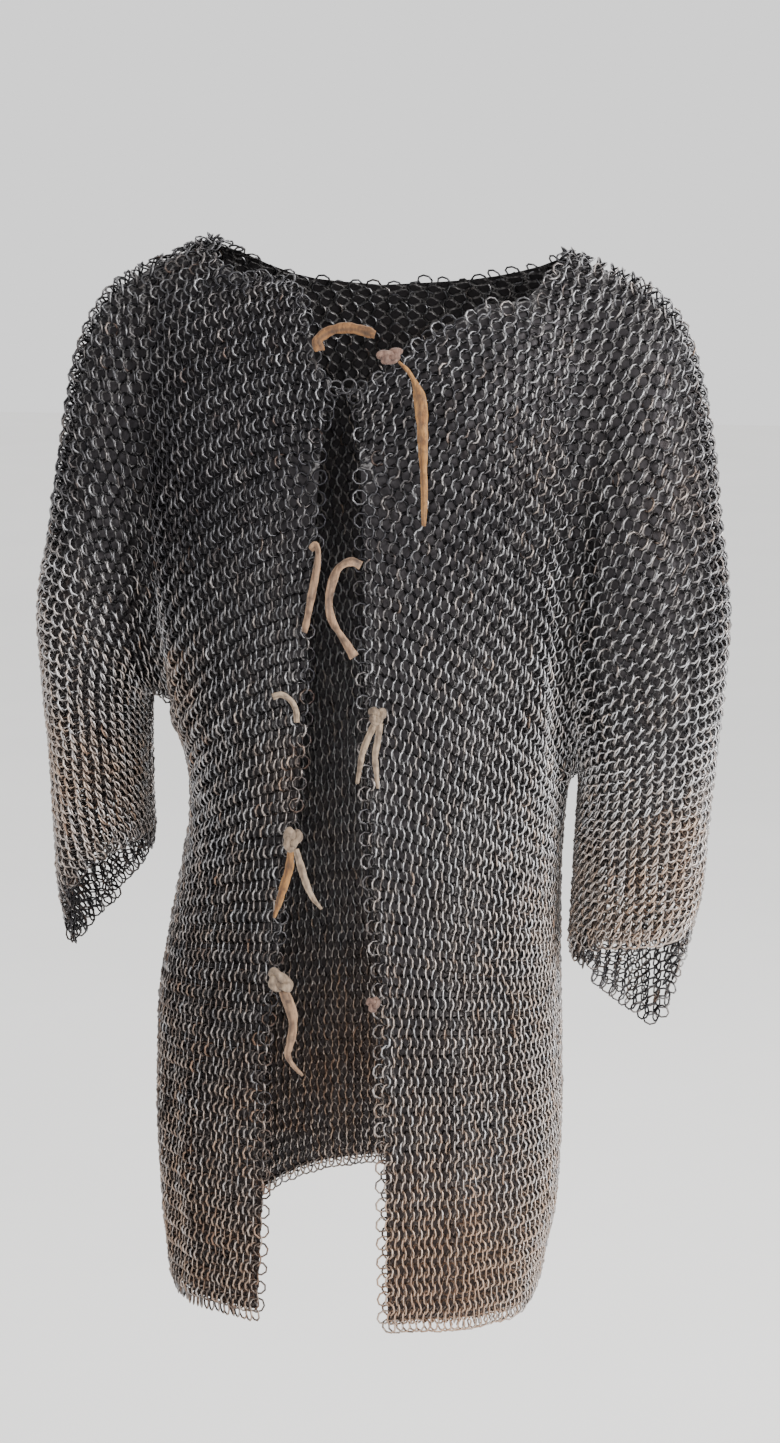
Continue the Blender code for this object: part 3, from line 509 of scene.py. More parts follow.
# Rows or columns over which the folds come in, from each line where they have to be out.
FROM_SIDE_SEAM = 6
FROM_ARMPIT = 5
FROM_SHOULDER = 7
FROM_BACK_MIDDLE = 3
ARMPIT_ROWS, ARMPIT_COLUMNS = 4, 7  # round the armpit, where the side seam meets the sleeve's

SOLVER_STEPS = 4000  # at most
SOLVED = 1e-14  # of the first residue, at which the solver stops


def between(low, high, share):
    return low + (high - low) * share


def smooth(rows, key, column, at):
    """The column's value where the key is at, on a smooth curve through the rows that never overshoots."""
    ordered = sorted(rows, key=lambda row: getattr(row, key))
    x = np.array([getattr(row, key) for row in ordered], float)
    y = np.array([getattr(row, column) for row in ordered], float)
    at = np.clip(np.asarray(at, float), x[0], x[-1])
    step, rise = np.diff(x), np.diff(y)
    slope = rise / step
    tangent = np.zeros(len(x))
    same = slope[:-1] * slope[1:] > 0
    left, right = 2 * step[1:] + step[:-1], step[1:] + 2 * step[:-1]
    with np.errstate(divide="ignore", invalid="ignore"):
        mean = (left + right) / (left / slope[:-1] + right / slope[1:])
    tangent[1:-1] = np.where(same, mean, 0.0)
    tangent[0], tangent[-1] = slope[0], slope[-1]
    i = np.clip(np.searchsorted(x, at) - 1, 0, len(x) - 2)
    t = (at - x[i]) / step[i]
    a, b = tangent[i] * step[i], tangent[i + 1] * step[i]
    return y[i] + t * (a + t * ((3 * rise[i] - 2 * a - b) + t * (a + b - 2 * rise[i])))


def rounded(share, exponent):
    """Height of a superellipse's quarter at a share of its width."""
    return (1.0 - np.clip(share, 0.0, 1.0) ** exponent) ** (1.0 / exponent)


# ---- the body's surface ----
def ridge_z(side, x):
    return smooth(SHOULDERS[side], "x", "z", x)


def body_depth(face, z):
    column, chest = ("front_depth", CHEST_DEPTH) if face == FRONT else ("back_depth", BACK_DEPTH)
    lowest = BODY_LEVELS[0]
    share = np.clip((z - lowest.z) / (CHEST_LEVEL - lowest.z), 0.0, 1.0)
    return np.where(
        z <= lowest.z, smooth(BODY_LEVELS, "z", column, z), between(getattr(lowest, column), chest, share)
    )


def armhole_x(side, z):
    hole = ARMHOLES[side]
    top = ridge_z(side, hole.top_x)
    low = between(hole.notch_x, hole.chest_x, (z - hole.notch_z) / (CHEST_LEVEL - hole.notch_z))
    high = between(hole.chest_x, hole.top_x, (z - CHEST_LEVEL) / (top - CHEST_LEVEL))
    return np.where(z <= CHEST_LEVEL, low, high)


def armhole_depth(side, z):
    hole = ARMHOLES[side]
    top = ridge_z(side, hole.top_x)
    low = rounded((CHEST_LEVEL - z) / (CHEST_LEVEL - hole.notch_z), 2.0)
    high = rounded((z - CHEST_LEVEL) / (top - CHEST_LEVEL), YOKE_ROUND)
    return ARMHOLE_DEPTH * np.where(z <= CHEST_LEVEL, low, high)


def half_width(side, face, z):
    """Half width of the level section, and the angle from the middle at which it ends."""
    hole = ARMHOLES[side]
    column = SIDE_NAMES[side] + "_half"
    under = [level for level in BODY_LEVELS if level.z < hole.notch_z - 0.002]
    notch = Level(hole.notch_z, hole.notch_x, hole.notch_x, 0, 0)
    below = smooth(under + [notch], "z", column, z)
    share = np.clip(armhole_depth(side, z) / body_depth(face, z), 0.0, 1.0)
    end = np.arccos(share ** (BODY_ROUND / 2))
    above = armhole_x(side, z) / np.sin(end) ** (2 / BODY_ROUND)
    low = z <= hole.notch_z
    return np.where(low, below, above), np.where(low, math.pi / 2, end)


def edge_x(side, z):
    return smooth(FRONT_OPENING, "z", SIDE_NAMES[side] + "_x", z)


def level_points(side, face, column, z):
    """Points of the body at or below chest level. column is 0 at the middle or front edge."""
    half, end = half_width(side, face, z)
    start = np.zeros_like(end)
    if face == FRONT:
        start = np.arcsin((edge_x(side, z) / half) ** (BODY_ROUND / 2))
    angle = between(start, end, column)
    x = side * half * np.sin(angle) ** (2 / BODY_ROUND)
    y = face * body_depth(face, z) * np.clip(np.cos(angle), 0.0, 1.0) ** (2 / BODY_ROUND)
    return np.stack([x, y, z], -1)


def yoke_points(side, face, column, x_top, turn):
    """Points of the arch over the shoulder. turn is 0 at chest level and 1 on the shoulder line,
    or at the neck opening's edge."""
    base = level_points(side, face, column, np.full_like(column, CHEST_LEVEL))
    x_base, y_base = np.abs(base[..., 0]), base[..., 1]
    rise = ridge_z(side, x_top) - CHEST_LEVEL
    neck = NECK_FRONT if face == FRONT else NECK_BACK
    share = np.clip((smooth(neck[side], "x", "z", x_top) - CHEST_LEVEL) / rise, 0.0, 1.0)
    last = np.where(x_top < NECK_CORNER[side], np.arcsin(share ** (YOKE_ROUND / 2)), math.pi / 2)
    angle = last * turn
    lift = np.sin(angle) ** (2 / YOKE_ROUND)
    z = CHEST_LEVEL + rise * lift
    x = between(x_base, x_top, lift / np.sin(last) ** (2 / YOKE_ROUND))
    if face == FRONT:
        x = np.where(column == 0.0, edge_x(side, z), x)
    y = y_base * np.clip(np.cos(angle), 0.0, 1.0) ** (2 / YOKE_ROUND)
    return np.stack([side * x, y, z], -1)


def top_from_column(side, face, column):
    """How far out a column of the panel ends, at the neck or on the shoulder line."""
    base = level_points(side, face, column, np.full_like(column, CHEST_LEVEL))
    chest_edge = edge_x(side, CHEST_LEVEL) if face == FRONT else 0.0
    neck_edge = FRONT_EDGE_TOP[side] if face == FRONT else 0.0
    hole = ARMHOLES[side]
    share = (np.abs(base[..., 0]) - chest_edge) / (hole.chest_x - chest_edge)
    return between(neck_edge, hole.top_x, share)


def panel_columns(side, face, steps, shoulder_tops):
    """Columns for a panel, and where each ends. Over the shoulder both faces share the same ends."""
    fine = np.linspace(0.0, 1.0, FINE_COLUMNS)
    tops = top_from_column(side, face, fine)
    first = FRONT_EDGE_TOP[side] if face == FRONT else 0.0
    wanted = np.concatenate([np.linspace(first, NECK_CORNER[side], steps, endpoint=False), shoulder_tops])
    column = np.interp(wanted, tops, fine)
    column[0], column[-1] = 0.0, 1.0
    return column, wanted


def shoulder_tops(side):
    """Where the columns over the shoulder end, from the neck's corner to the armhole."""
    fine = np.linspace(0.0, 1.0, FINE_COLUMNS)
    tops = top_from_column(side, FRONT, fine)
    start = np.interp(NECK_CORNER[side], tops, fine)
    return np.interp(np.linspace(start, 1.0, SHOULDER_STEPS[side] + 1), fine, tops)


def row_heights(side, face, column):
    """Heights of the level rows up to chest level, hem first: one line for each column."""
    middle = HEM_FRONT_Z if face == FRONT else HEM_BACK_Z
    hem = between(middle, HEM_SIDE_Z, 0.5 - 0.5 * np.cos(math.pi * column))[:, None]
    notch, other = ARMHOLES[side].notch_z, ARMHOLES[-side].notch_z
    lowest = between((notch + other) / 2, notch, column)[:, None]
    skirt = (np.arange(SKIRT_STEPS) / SKIRT_STEPS) ** HEM_CROWDING
    angle = math.pi / 2 * np.arange(ARMHOLE_STEPS) / ARMHOLE_STEPS
    return np.concatenate(
        [between(hem, lowest, skirt), CHEST_LEVEL - (CHEST_LEVEL - lowest) * np.cos(angle)], axis=1
    )


def panel_surface(side, face, column, tops):
    """Middle points of half a body panel: rows from the hem up, columns from the middle out."""
    z = row_heights(side, face, column)
    low = level_points(side, face, np.broadcast_to(column[:, None], z.shape), z)
    turn = np.linspace(0.0, 1.0, YOKE_STEPS + 1)
    wide = np.broadcast_to(column[:, None], (len(column), len(turn)))
    high = yoke_points(side, face, wide, np.broadcast_to(tops[:, None], wide.shape), turn[None])
    return np.concatenate([low, high], axis=1).transpose(1, 0, 2)


def sleeve_surface(side, face, seam):
    """Middle points of half a sleeve, beyond the armhole seam, one row for each seam point."""
    drops, sections, drawn_in_by = SLEEVE_HEMS[side], SLEEVES[side], SLEEVE_DRAWN_IN[side]
    top, low = seam[-1, 2], seam[0, 2]
    share = (top - seam[:, 2]) / (top - low)
    angle = np.degrees(np.arccos(1.0 - 2.0 * share))
    lines = [seam]
    for index, section in enumerate(sections):
        drawn = min((index + 1) / LIKE_ARMHOLE, 1.0)
        depth = (section.front_depth if face == FRONT else section.back_depth) - drawn_in_by.depth * drawn
        own = depth * rounded(np.abs(2.0 * share - 1.0), SLEEVE_ROUND)
        like_armhole = np.abs(seam[:, 1]) * depth / ARMHOLE_DEPTH
        y = face * between(like_armhole, own, drawn)
        x = side * between(
            section.outer_x - drawn_in_by.outer * drawn, section.inner_x + drawn_in_by.inner * drawn, share
        )
        z = between(section.outer_z, section.inner_z, share)
        if index == len(sections) - 1:
            z = z - smooth(drops, "angle", FACE_NAMES[face], angle)
        lines.append(np.stack([x, y, z], -1))
    knots = np.stack(lines, 1)
    place = np.linspace(0.0, len(lines) - 1, SLEEVE_STEPS + 1)[1:]
    return curve_through(knots, place)


def catmull_rom(before, start, end, after, t):
    return 0.5 * (
        2 * start + (end - before) * t + (2 * before - 5 * start + 4 * end - after) * t**2
        + (3 * start - before - 3 * end + after) * t**3
    )


def curve_through(knots, place):
    """Points of Catmull-Rom curves through knots[:, k], at places counted in knots."""
    ends = np.concatenate([2 * knots[:, :1] - knots[:, 1:2], knots, 2 * knots[:, -1:] - knots[:, -2:-1]], 1)
    k = np.minimum(place.astype(int), knots.shape[1] - 2)
    t = (place - k)[None, :, None]
    return catmull_rom(*(ends[:, k + i] for i in range(4)), t)


def smooth_step(share):
    share = np.clip(share, 0.0, 1.0)
    return share * share * (3 - 2 * share)


def nearness(flat, trough):
    """How deep in a trough each point lies, 0 to 1: deepest along its line, fading at its ends."""
    line = np.array(trough.line, float)
    lengths = np.append(0.0, np.cumsum(np.linalg.norm(np.diff(line, axis=0), axis=1)))
    best, where = np.full(flat.shape[:-1], np.inf), np.zeros(flat.shape[:-1])
    for number in range(len(line) - 1):
        start, way = line[number], line[number + 1] - line[number]
        share = np.clip(((flat - start) @ way) / (way @ way), 0.0, 1.0)
        far = np.linalg.norm(flat - start - share[..., None] * way, axis=-1)
        closer = far < best
        best = np.where(closer, far, best)
        where = np.where(closer, lengths[number] + share * np.linalg.norm(way), where)
    along = where / lengths[-1]
    ends = smooth_step(along / TROUGH_FADE) * smooth_step((1 - along) / TROUGH_FADE)
    return np.nan_to_num(np.exp(-((best / trough.width) ** 2)) * ends)


# ---- one surface for each face of each side, from the hem over chest and shoulder to the cuff ----
class Sheet:
    """A grid of middle points, with rows of the ring pattern worked out over it.

    points[row, column]: rows run from the hem up to the neck or shoulder line, columns from the
    front edge or the middle of the back out to the armhole, and on down the sleeve, where only
    the rows above the armpit go on.
    """

    def __init__(self, side, face):
        self.side, self.face = side, face
        steps = FRONT_STEPS if face == FRONT else BACK_STEPS
        self.corner = steps[side]  # the column that ends at the neck's corner
        column, tops = panel_columns(side, face, steps[side], shoulder_tops(side))
        body = panel_surface(side, face, column, tops)
        self.seam = len(column) - 1  # the armhole's column
        self.armpit = SKIRT_STEPS  # the armpit's row
        arm = sleeve_surface(side, face, body[self.armpit :, -1])
        rows, last = body.shape[0], body.shape[1] + arm.shape[1]
        self.points = np.full((rows, last, 3), np.nan)
        self.points[:, : body.shape[1]] = body
        self.points[self.armpit :, body.shape[1] :] = arm
        self.round_seam()
        self.fold()
        self.column_share = np.broadcast_to(np.append(column, np.ones(arm.shape[1])), (rows, last))
        self.whole = ~np.isnan(self.points[..., 0])
        self.number = np.arange(rows * last).reshape(rows, last)
        self.triangles = self.split_faces()
        self.normals = self.point_normals()

    def round_seam(self):
        """Eases the crease at the armhole seam above the armpit, as mail drapes over it."""
        first, last = self.seam - EASED_BEFORE, self.seam + EASED_AFTER
        column = np.arange(first, last)
        near = smooth_step((column - first) / EASED_FULLY_IN)
        near = near * smooth_step((last - 1 - column) / EASED_FULLY_OUT)
        row = np.arange(self.armpit, self.points.shape[0])
        high = smooth_step((row - self.armpit - EASED_ABOVE) / EASED_FULLY_ABOVE)
        share = (high[:, None] * near)[..., None]
        for _ in range(SEAM_EASING):
            here = self.points[self.armpit :, first:last]
            before = self.points[self.armpit :, first - 1 : last - 1]
            after = self.points[self.armpit :, first + 1 : last + 1]
            self.points[self.armpit :, first:last] = here + share * ((before + after) / 2 - here)

    def fold(self):
        """Presses the folds into the surface. They fade out at the seams that two faces share."""
        rows, columns = self.points.shape[:2]
        row, column = np.arange(rows)[:, None], np.arange(columns)[None]
        from_seam = smooth_step((self.seam - column) / FROM_SIDE_SEAM)
        side_seam = np.where(row < self.armpit + ARMPIT_ROWS, from_seam, 1.0)
        from_armpit = smooth_step((row - self.armpit) / FROM_ARMPIT)
        under_arm = np.where(column > self.seam - ARMPIT_COLUMNS, from_armpit, 1.0)
        side_seam = np.where(row < self.armpit, side_seam, np.maximum(side_seam, under_arm))
        under_arm = np.where(row < self.armpit, 1.0, under_arm)
        ridge = np.where(column >= self.corner, smooth_step((rows - 1 - row) / FROM_SHOULDER), 1.0)
        middle = smooth_step(column / FROM_BACK_MIDDLE) if self.face == BACK else 1.0
        depth = np.zeros((rows, columns))
        flat = self.points[..., [0, 2]]
        for trough in FOLDS:
            if (trough.side, trough.face) == (self.side, self.face):
                depth += trough.depth * nearness(flat, trough)
        inwards = -depth * side_seam * under_arm * ridge * middle
        self.points = self.points + self.grid_normals() * inwards[..., None]

    def grid_normals(self):
        """Outward directions at the grid's points, for pressing folds in."""
        ahead = np.empty_like(self.points)
        up = np.empty_like(self.points)
        padded = np.pad(self.points, ((1, 1), (1, 1), (0, 0)), constant_values=np.nan)
        rows, columns = self.points.shape[:2]
        for (down, over), out in (((0, 1), ahead), ((1, 0), up)):
            after = padded[1 + down : 1 + down + rows, 1 + over : 1 + over + columns]
            before = padded[1 - down : 1 - down + rows, 1 - over : 1 - over + columns]
            one_way = np.where(np.isnan(after), self.points - before, after - self.points)
            out[:] = np.where(np.isnan(one_way), 0.0, one_way)
        return unit(np.cross(ahead, up) * (-self.side * self.face))

    def split_faces(self):
        n, w = self.number, self.whole
        square = w[:-1, :-1] & w[1:, :-1] & w[:-1, 1:] & w[1:, 1:]
        a, b = n[:-1, :-1][square], n[:-1, 1:][square]
        c, d = n[1:, 1:][square], n[1:, :-1][square]
        return np.concatenate([np.stack([a, b, c], 1), np.stack([a, c, d], 1)])

    def point_normals(self):
        p = self.points.reshape(-1, 3)
        a, b, c = (p[self.triangles[:, k]] for k in range(3))
        cross = np.cross(b - a, c - a) * (-self.side * self.face)
        total = np.zeros_like(p)
        for k in range(3):
            for axis in range(3):
                total[:, axis] += np.bincount(self.triangles[:, k], cross[:, axis], len(p))
        size = np.linalg.norm(total, axis=1, keepdims=True)
        return total / np.maximum(size, 1e-12)


def unit(vectors):
    return vectors / np.maximum(np.linalg.norm(vectors, axis=-1, keepdims=True), 1e-12)


def along_surface(vectors, normals):
    return vectors - normals * (vectors * normals).sum(-1, keepdims=True)


def row_field(sheet):
    """For each triangle: its normal, the way its ring rows point, and the pitches along and across."""
    p = sheet.points.reshape(-1, 3)
    t = sheet.triangles
    a, b, c = (p[t[:, k]] for k in range(3))
    normal = unit(np.cross(b - a, c - a) * (-sheet.side * sheet.face))
    middle = (a + b + c) / 3
    width = sheet.points.shape[1]
    column = (t % width).mean(1)
    row = (t // width).mean(1)
    share = sheet.column_share.reshape(-1)[t].mean(1)
    on_sleeve = (t % width).max(1) > sheet.seam
    # level and outwards round the body, turning to sideways over the shoulder
    low = np.clip((BEARING_TOP - middle[:, 2]) / BEARING_HEIGHT, 0.0, 1.0)
    depth = np.where(sheet.face == FRONT, CHEST_DEPTH, BACK_DEPTH)
    bearing = np.arctan2(np.abs(middle[:, 0]) / BEARING_WIDTH, np.abs(middle[:, 1]) / depth) * low
    level = np.stack([sheet.side * np.cos(bearing), -sheet.face * np.sin(bearing), 0 * bearing], 1)
    # on the sleeve, along the grid's own lines
    q = np.minimum(np.ceil(column).astype(int), width - 1)
    r = np.round(row).astype(int)
    grid = sheet.points
    arm = grid[r, q] - grid[r, q - 1]
    outward = unit(along_surface(np.where(on_sleeve[:, None], arm, level), normal))
    down = np.cross(outward, normal) * (-sheet.side * sheet.face)
    # how far the rows fall below level there, most at the armhole and less down the sleeve
    fall = np.radians(smooth(ROW_FALL, "z", "degrees", middle[:, 2]))
    past_seam = np.clip(column - sheet.seam, 0.0, None) / SLEEVE_STEPS * len(SLEEVES[sheet.side])
    seam_z = sheet.points[r, sheet.seam, 2]
    arm_fall = np.radians(smooth(ROW_FALL, "z", "degrees", seam_z)) * np.exp(-((past_seam / FALL_FADES) ** 2))
    row_fall = np.where(on_sleeve, arm_fall, fall * share**ROW_FALL_BUILDS)
    # columns turn less than rows do over the chest, because mail shears like a net
    further_out = smooth_step((share - COLUMN_TURN_FROM) / (1 - COLUMN_TURN_FROM))
    turned = fall * share**COLUMN_FALL_BUILDS * between(COLUMN_SHARE, 1.0, further_out)
    column_fall = np.where(on_sleeve, arm_fall, turned)
    way = outward * np.cos(column_fall)[:, None] + down * np.sin(column_fall)[:, None]
    across = down * np.cos(row_fall)[:, None] - outward * np.sin(row_fall)[:, None]
    blend = smooth_step((column - sheet.seam + SLEEVE_EASING) / PITCH_EASING)
    round_arm = np.clip((grid.shape[0] - 1 - row) / (grid.shape[0] - 1 - sheet.armpit), 0.0, 1.0)
    sleeve_along = between(SLEEVE_ALONG_OUTSIDE, SLEEVE_ALONG_INSIDE, round_arm)
    along_pitch = between(smooth(BODY_PITCH, "z", "along", middle[:, 2]), sleeve_along, blend)
    across_pitch = between(smooth(BODY_PITCH, "z", "across", middle[:, 2]), SLEEVE_ACROSS, blend)
    return normal, way, across, along_pitch, across_pitch


class Pattern:
    """Solves for ring counts along (u) and across (v) the rows, over all the sheets at once."""

    def __init__(self, sheets):
        self.sheets = sheets
        self.start, total = {}, 0
        for key, sheet in sheets.items():
            self.start[key] = total
            total += sheet.number.size
        self.total = total
        self.fields = {key: row_field(sheet) for key, sheet in sheets.items()}

    def at(self, key, rows, columns):
        return self.start[key] + self.sheets[key].number[rows, columns].ravel()

    def ties(self, which):
        """Each point's value is sign * value of its root + shift: the seams and edges fix these."""
        root, sign, shift = np.arange(self.total), np.ones(self.total), np.zeros(self.total)

        def fix(points, value):
            sign[points], shift[points] = 0.0, value

        def join(points, others, way=1.0, offset=0.0):
            root[points], sign[points], shift[points] = others, way, offset

        for side in (RIGHT, LEFT):
            front, back = self.sheets[side, FRONT], self.sheets[side, BACK]
            armpit = front.armpit
            below = slice(0, armpit)
            front_seam = self.at((side, FRONT), below, front.seam)
            back_seam = self.at((side, BACK), below, back.seam)
            over_front = self.at((side, FRONT), -1, slice(front.corner, None))
            over_back = self.at((side, BACK), -1, slice(back.corner, None))
            under_front = self.at((side, FRONT), armpit, slice(front.seam + 1, None))
            under_back = self.at((side, BACK), armpit, slice(back.seam + 1, None))
            pits = [self.at((side, f), armpit, self.sheets[side, f].seam) for f in (FRONT, BACK)]
            if which == "across":
                join(back_seam, front_seam)
                for points in (over_front, over_back):
                    fix(points, 0.0)
                for points in (under_front, under_back, *pits):
                    fix(points, ROWS_UNDER_ARM[side])
                for face in (FRONT, BACK):
                    seam = self.sheets[side, face].seam
                    fix(self.at((side, face), 0, slice(0, seam + 1)), ROWS_TO_HEM)
            else:
                join(back_seam, front_seam, -1.0, RINGS_ROUND[side])
                free = front.seam + SHOULDER_JOIN - front.corner  # the shoulder seam takes up the difference
                join(over_back[free:], over_front[free:])
                join(under_back, under_front)
                for points in pits:
                    fix(points, RINGS_ROUND[side] / 2)
                fix(self.at((side, FRONT), slice(0, -CUT_ROWS), 0), 0.0)
                fix(self.at((side, BACK), slice(None), 0), 0.0)
        if which == "across":
            rows = self.sheets[LEFT, BACK].points.shape[0]
            middle = slice(1, rows)
            join(self.at((RIGHT, BACK), middle, 0), self.at((LEFT, BACK), middle, 0))
        return root, sign, shift

    def solve(self, which):
        """The counts whose slopes come closest to one ring per pitch, each the way its rows point."""
        i, j, weight = [], [], []
        pull = np.zeros(self.total)
        for key, sheet in self.sheets.items():
            normal, way, across, along_pitch, across_pitch = self.fields[key]
            aim = way / along_pitch[:, None] if which == "along" else across / across_pitch[:, None]
            p, t = sheet.points.reshape(-1, 3), sheet.triangles
            flip = -sheet.side * sheet.face
            corner = [p[t[:, k]] for k in range(3)]
            edge = [corner[(k + 2) % 3] - corner[(k + 1) % 3] for k in range(3)]
            twice = np.linalg.norm(np.cross(edge[0], edge[1]), axis=1)
            for k in range(3):
                spread = (np.cross(normal * flip, edge[k]) * aim).sum(1) / 2
                pull += np.bincount(t[:, k] + self.start[key], spread, self.total)
                m, n = (k + 1) % 3, (k + 2) % 3
                i.append(t[:, m] + self.start[key])
                j.append(t[:, n] + self.start[key])
                weight.append(-(edge[m] * edge[n]).sum(1) / (2 * twice))
        i, j, weight = (np.concatenate(x) for x in (i, j, weight))
        root, sign, shift = self.ties(which)

        def spread_out(x):
            return sign * x[root] + shift

        def gather(y):
            return np.bincount(root, sign * y, self.total)

        def stiffness(x):
            flow = weight * (x[i] - x[j])
            return np.bincount(i, flow, self.total) - np.bincount(j, flow, self.total)

        diagonal = np.bincount(i, weight, self.total) + np.bincount(j, weight, self.total)
        diagonal = np.bincount(root, sign**2 * np.abs(diagonal), self.total)
        used = diagonal > 1e-9
        inverse = np.where(used, 1 / np.where(used, diagonal, 1.0), 0.0)
        x = np.zeros(self.total)
        rest = gather(pull - stiffness(spread_out(x))) * used
        step = inverse * rest
        size = (rest * step).sum()
        first = size
        for _ in range(SOLVER_STEPS):
            moved = gather(stiffness(sign * step[root])) * used
            gain = size / (step * moved).sum()
            x += gain * step
            rest -= gain * moved
            ready = inverse * rest
            new = (rest * ready).sum()
            if new < first * SOLVED:
                break
            step = ready + step * (new / size)
            size = new
        whole = spread_out(x)
        return {
            key: whole[self.start[key] : self.start[key] + sheet.number.size]
            for key, sheet in self.sheets.items()
        }


# ---- rings on the surfaces ----
Rings = namedtuple("Rings", "points normals ways rows columns spacings from_edge")


def rings_on(sheet, along, across):
    """The rings whose places, whole rows and every other one half a ring along, fall on the sheet."""
    t = sheet.triangles
    u, v = along[t], across[t]
    du, dv = u[:, 1:] - u[:, :1], v[:, 1:] - v[:, :1]
    twist = du[:, 0] * dv[:, 1] - du[:, 1] * dv[:, 0]
    usable = np.abs(twist) > 1e-9
    first_row = np.ceil(v.min(1))
    keys, chosen, shares = [], [], []
    for down in range(4):
        row = first_row + down
        half = (row % 2) / 2
        first = np.ceil(u.min(1) - half)
        for step in range(4):
            place = first + step + half
            out, low = place - u[:, 0], row - v[:, 0]
            with np.errstate(divide="ignore", invalid="ignore"):
                second = (out * dv[:, 1] - du[:, 1] * low) / twist
                third = (du[:, 0] * low - out * dv[:, 0]) / twist
            share = np.stack([1 - second - third, second, third], 1)
            inside = usable & (share > -1e-6).all(1)
            chosen.append(np.nonzero(inside)[0])
            shares.append(share[inside])
            keys.append(np.stack([row[inside], 2 * place[inside]], 1))
    keys = np.round(np.concatenate(keys)).astype(int)
    chosen, shares = np.concatenate(chosen), np.concatenate(shares)
    _, only = np.unique(keys, axis=0, return_index=True)
    keys, chosen, shares = keys[only], chosen[only], shares[only]
    p, n = sheet.points.reshape(-1, 3), sheet.normals
    corner = t[chosen]
    points = (p[corner] * shares[..., None]).sum(1)
    normals = unit((n[corner] * shares[..., None]).sum(1))
    e1, e2 = p[corner[:, 1]] - p[corner[:, 0]], p[corner[:, 2]] - p[corner[:, 0]]
    along_row = (e1 * dv[chosen, 1:2] - e2 * dv[chosen, :1]) / twist[chosen, None]
    down_column = (e2 * du[chosen, :1] - e1 * du[chosen, 1:2]) / twist[chosen, None]
    spacings = np.linalg.norm(np.cross(along_row, down_column), axis=1) / np.linalg.norm(down_column, axis=1)
    # each ring hangs: its long way lies between its column's and straight down, and it leans square to that
    hanging = along_surface(np.broadcast_to((0.0, 0.0, -1.0), normals.shape), normals)
    long_way = unit(unit(down_column) + HANGING * hanging)
    turned = np.sign((np.cross(down_column, normals) * along_row).sum(1, keepdims=True))
    way = unit(np.cross(long_way, normals)) * turned
    columns = (corner % sheet.points.shape[1]).mean(1)
    return Rings(points, normals, way, keys[:, 0], columns, spacings, distance_from_edge(sheet, points))


def distance_from_edge(sheet, points):
    """How far each point is from the front edge, the neck, the hem or the cuff."""
    grid = sheet.points
    edges = [grid[-1, : sheet.corner + 1], grid[0, : sheet.seam + 1], grid[sheet.armpit :, -1]]
    if sheet.face == FRONT:
        edges.append(grid[:, 0])
    shares = (0.0, 0.25, 0.5, 0.75)
    tree = kdtree.KDTree(sum(len(edge) - 1 for edge in edges) * len(shares))
    for number, edge in enumerate(edges):
        for start, end in zip(edge, edge[1:]):
            for share in shares:
                tree.insert(between(start, end, share), number)
    tree.balance()
    return np.array([tree.find(point)[2] for point in points])


def turns_from_frames(first, second, third):
    """XYZ turns in radians from the three axes of each frame."""
    return np.stack([
        np.arctan2(second[:, 2], third[:, 2]),
        np.arcsin(np.clip(-first[:, 2], -1.0, 1.0)),
        np.arctan2(first[:, 1], first[:, 0]),
    ], 1)


def laid_rings(rings, side, seam, chance):
    """Where each ring lies and how it is turned: leaning along its row, each row the other way, and a
    little loose."""
    at_edge = between(EDGE_LEAN, 1.0, np.clip(rings.from_edge / EDGE_REACH, 0.0, 1.0))
    full = np.interp(rings.spacings, [lean.spacing for lean in LEANS], [lean.degrees for lean in LEANS])
    on_sleeve = smooth_step((rings.columns - seam + SLEEVE_EASING) / (2 * SLEEVE_EASING))
    full = between(full, np.maximum(full, SLEEVE_LEAN), on_sleeve)
    lean = np.radians(full * at_edge + chance.normal(0.0, LEAN_SPREAD, len(rings.rows)))
    sign = side * np.where(rings.rows % 2 == 0, 1.0, -1.0)
    loose = chance.normal(0.0, np.radians(TILT_SPREAD), (len(rings.rows), 1))
    across = np.cross(rings.normals, rings.ways)
    axis = rings.normals * np.cos(lean)[:, None] + rings.ways * (sign * np.sin(lean))[:, None]
    axis = unit(axis + across * loose)
    second = unit(along_surface(across, axis))
    points = rings.points - rings.ways * (sign * at_edge * SIDE_STEP)[:, None]
    return points, turns_from_frames(np.cross(second, axis), second, axis)


def drop_doubles(points):
    """True for each point that no earlier one lies on: seams get each ring once."""
    tree = kdtree.KDTree(len(points))
    for number, point in enumerate(points):
        tree.insert(point, number)
    tree.balance()
    kept = np.ones(len(points), bool)
    for number, point in enumerate(points):
        if kept[number]:
            for _, other, _ in tree.find_range(point, NEAREST_RINGS):
                if other > number:
                    kept[other] = False
    return kept


def wear_and_painted_light(points, spots, chance):
    """Rust, and tone with its painted light and shade, at each point: soft patches, and a little of its own
    for each.
    """
    amount = np.zeros(len(points))
    for spot in spots:
        far = np.linalg.norm(points - np.array(spot.centre), axis=1) / spot.radius
        amount += spot.amount * np.exp(-(far**2))
    return amount + chance.normal(0.0, RING_TONE_SPREAD, len(points))


# ---- nodes ----
def add(tree, kind, settings=None, links=None):
    """Adds a node. links maps an input's name or number to a value or to another node's output."""
    node = tree.nodes.new(kind)
    for name, value in (settings or {}).items():
        setattr(node, name, value)
    for name, value in (links or {}).items():
        if isinstance(value, bpy.types.NodeSocket):
            tree.links.new(value, node.inputs[name])
        else:
            node.inputs[name].default_value = value
    return node


def colour(code):
    """Linear red, green, blue and alpha of an sRGB hex value."""
    parts = [int(code[k : k + 2], 16) / 255 for k in (1, 3, 5)]
    return (*(p / 12.92 if p <= 0.04045 else ((p + 0.055) / 1.055) ** 2.4 for p in parts), 1.0)


def new_material(name):
    material = bpy.data.materials.new(name)
    material.use_nodes = True
    material.node_tree.nodes.clear()
    return material, material.node_tree


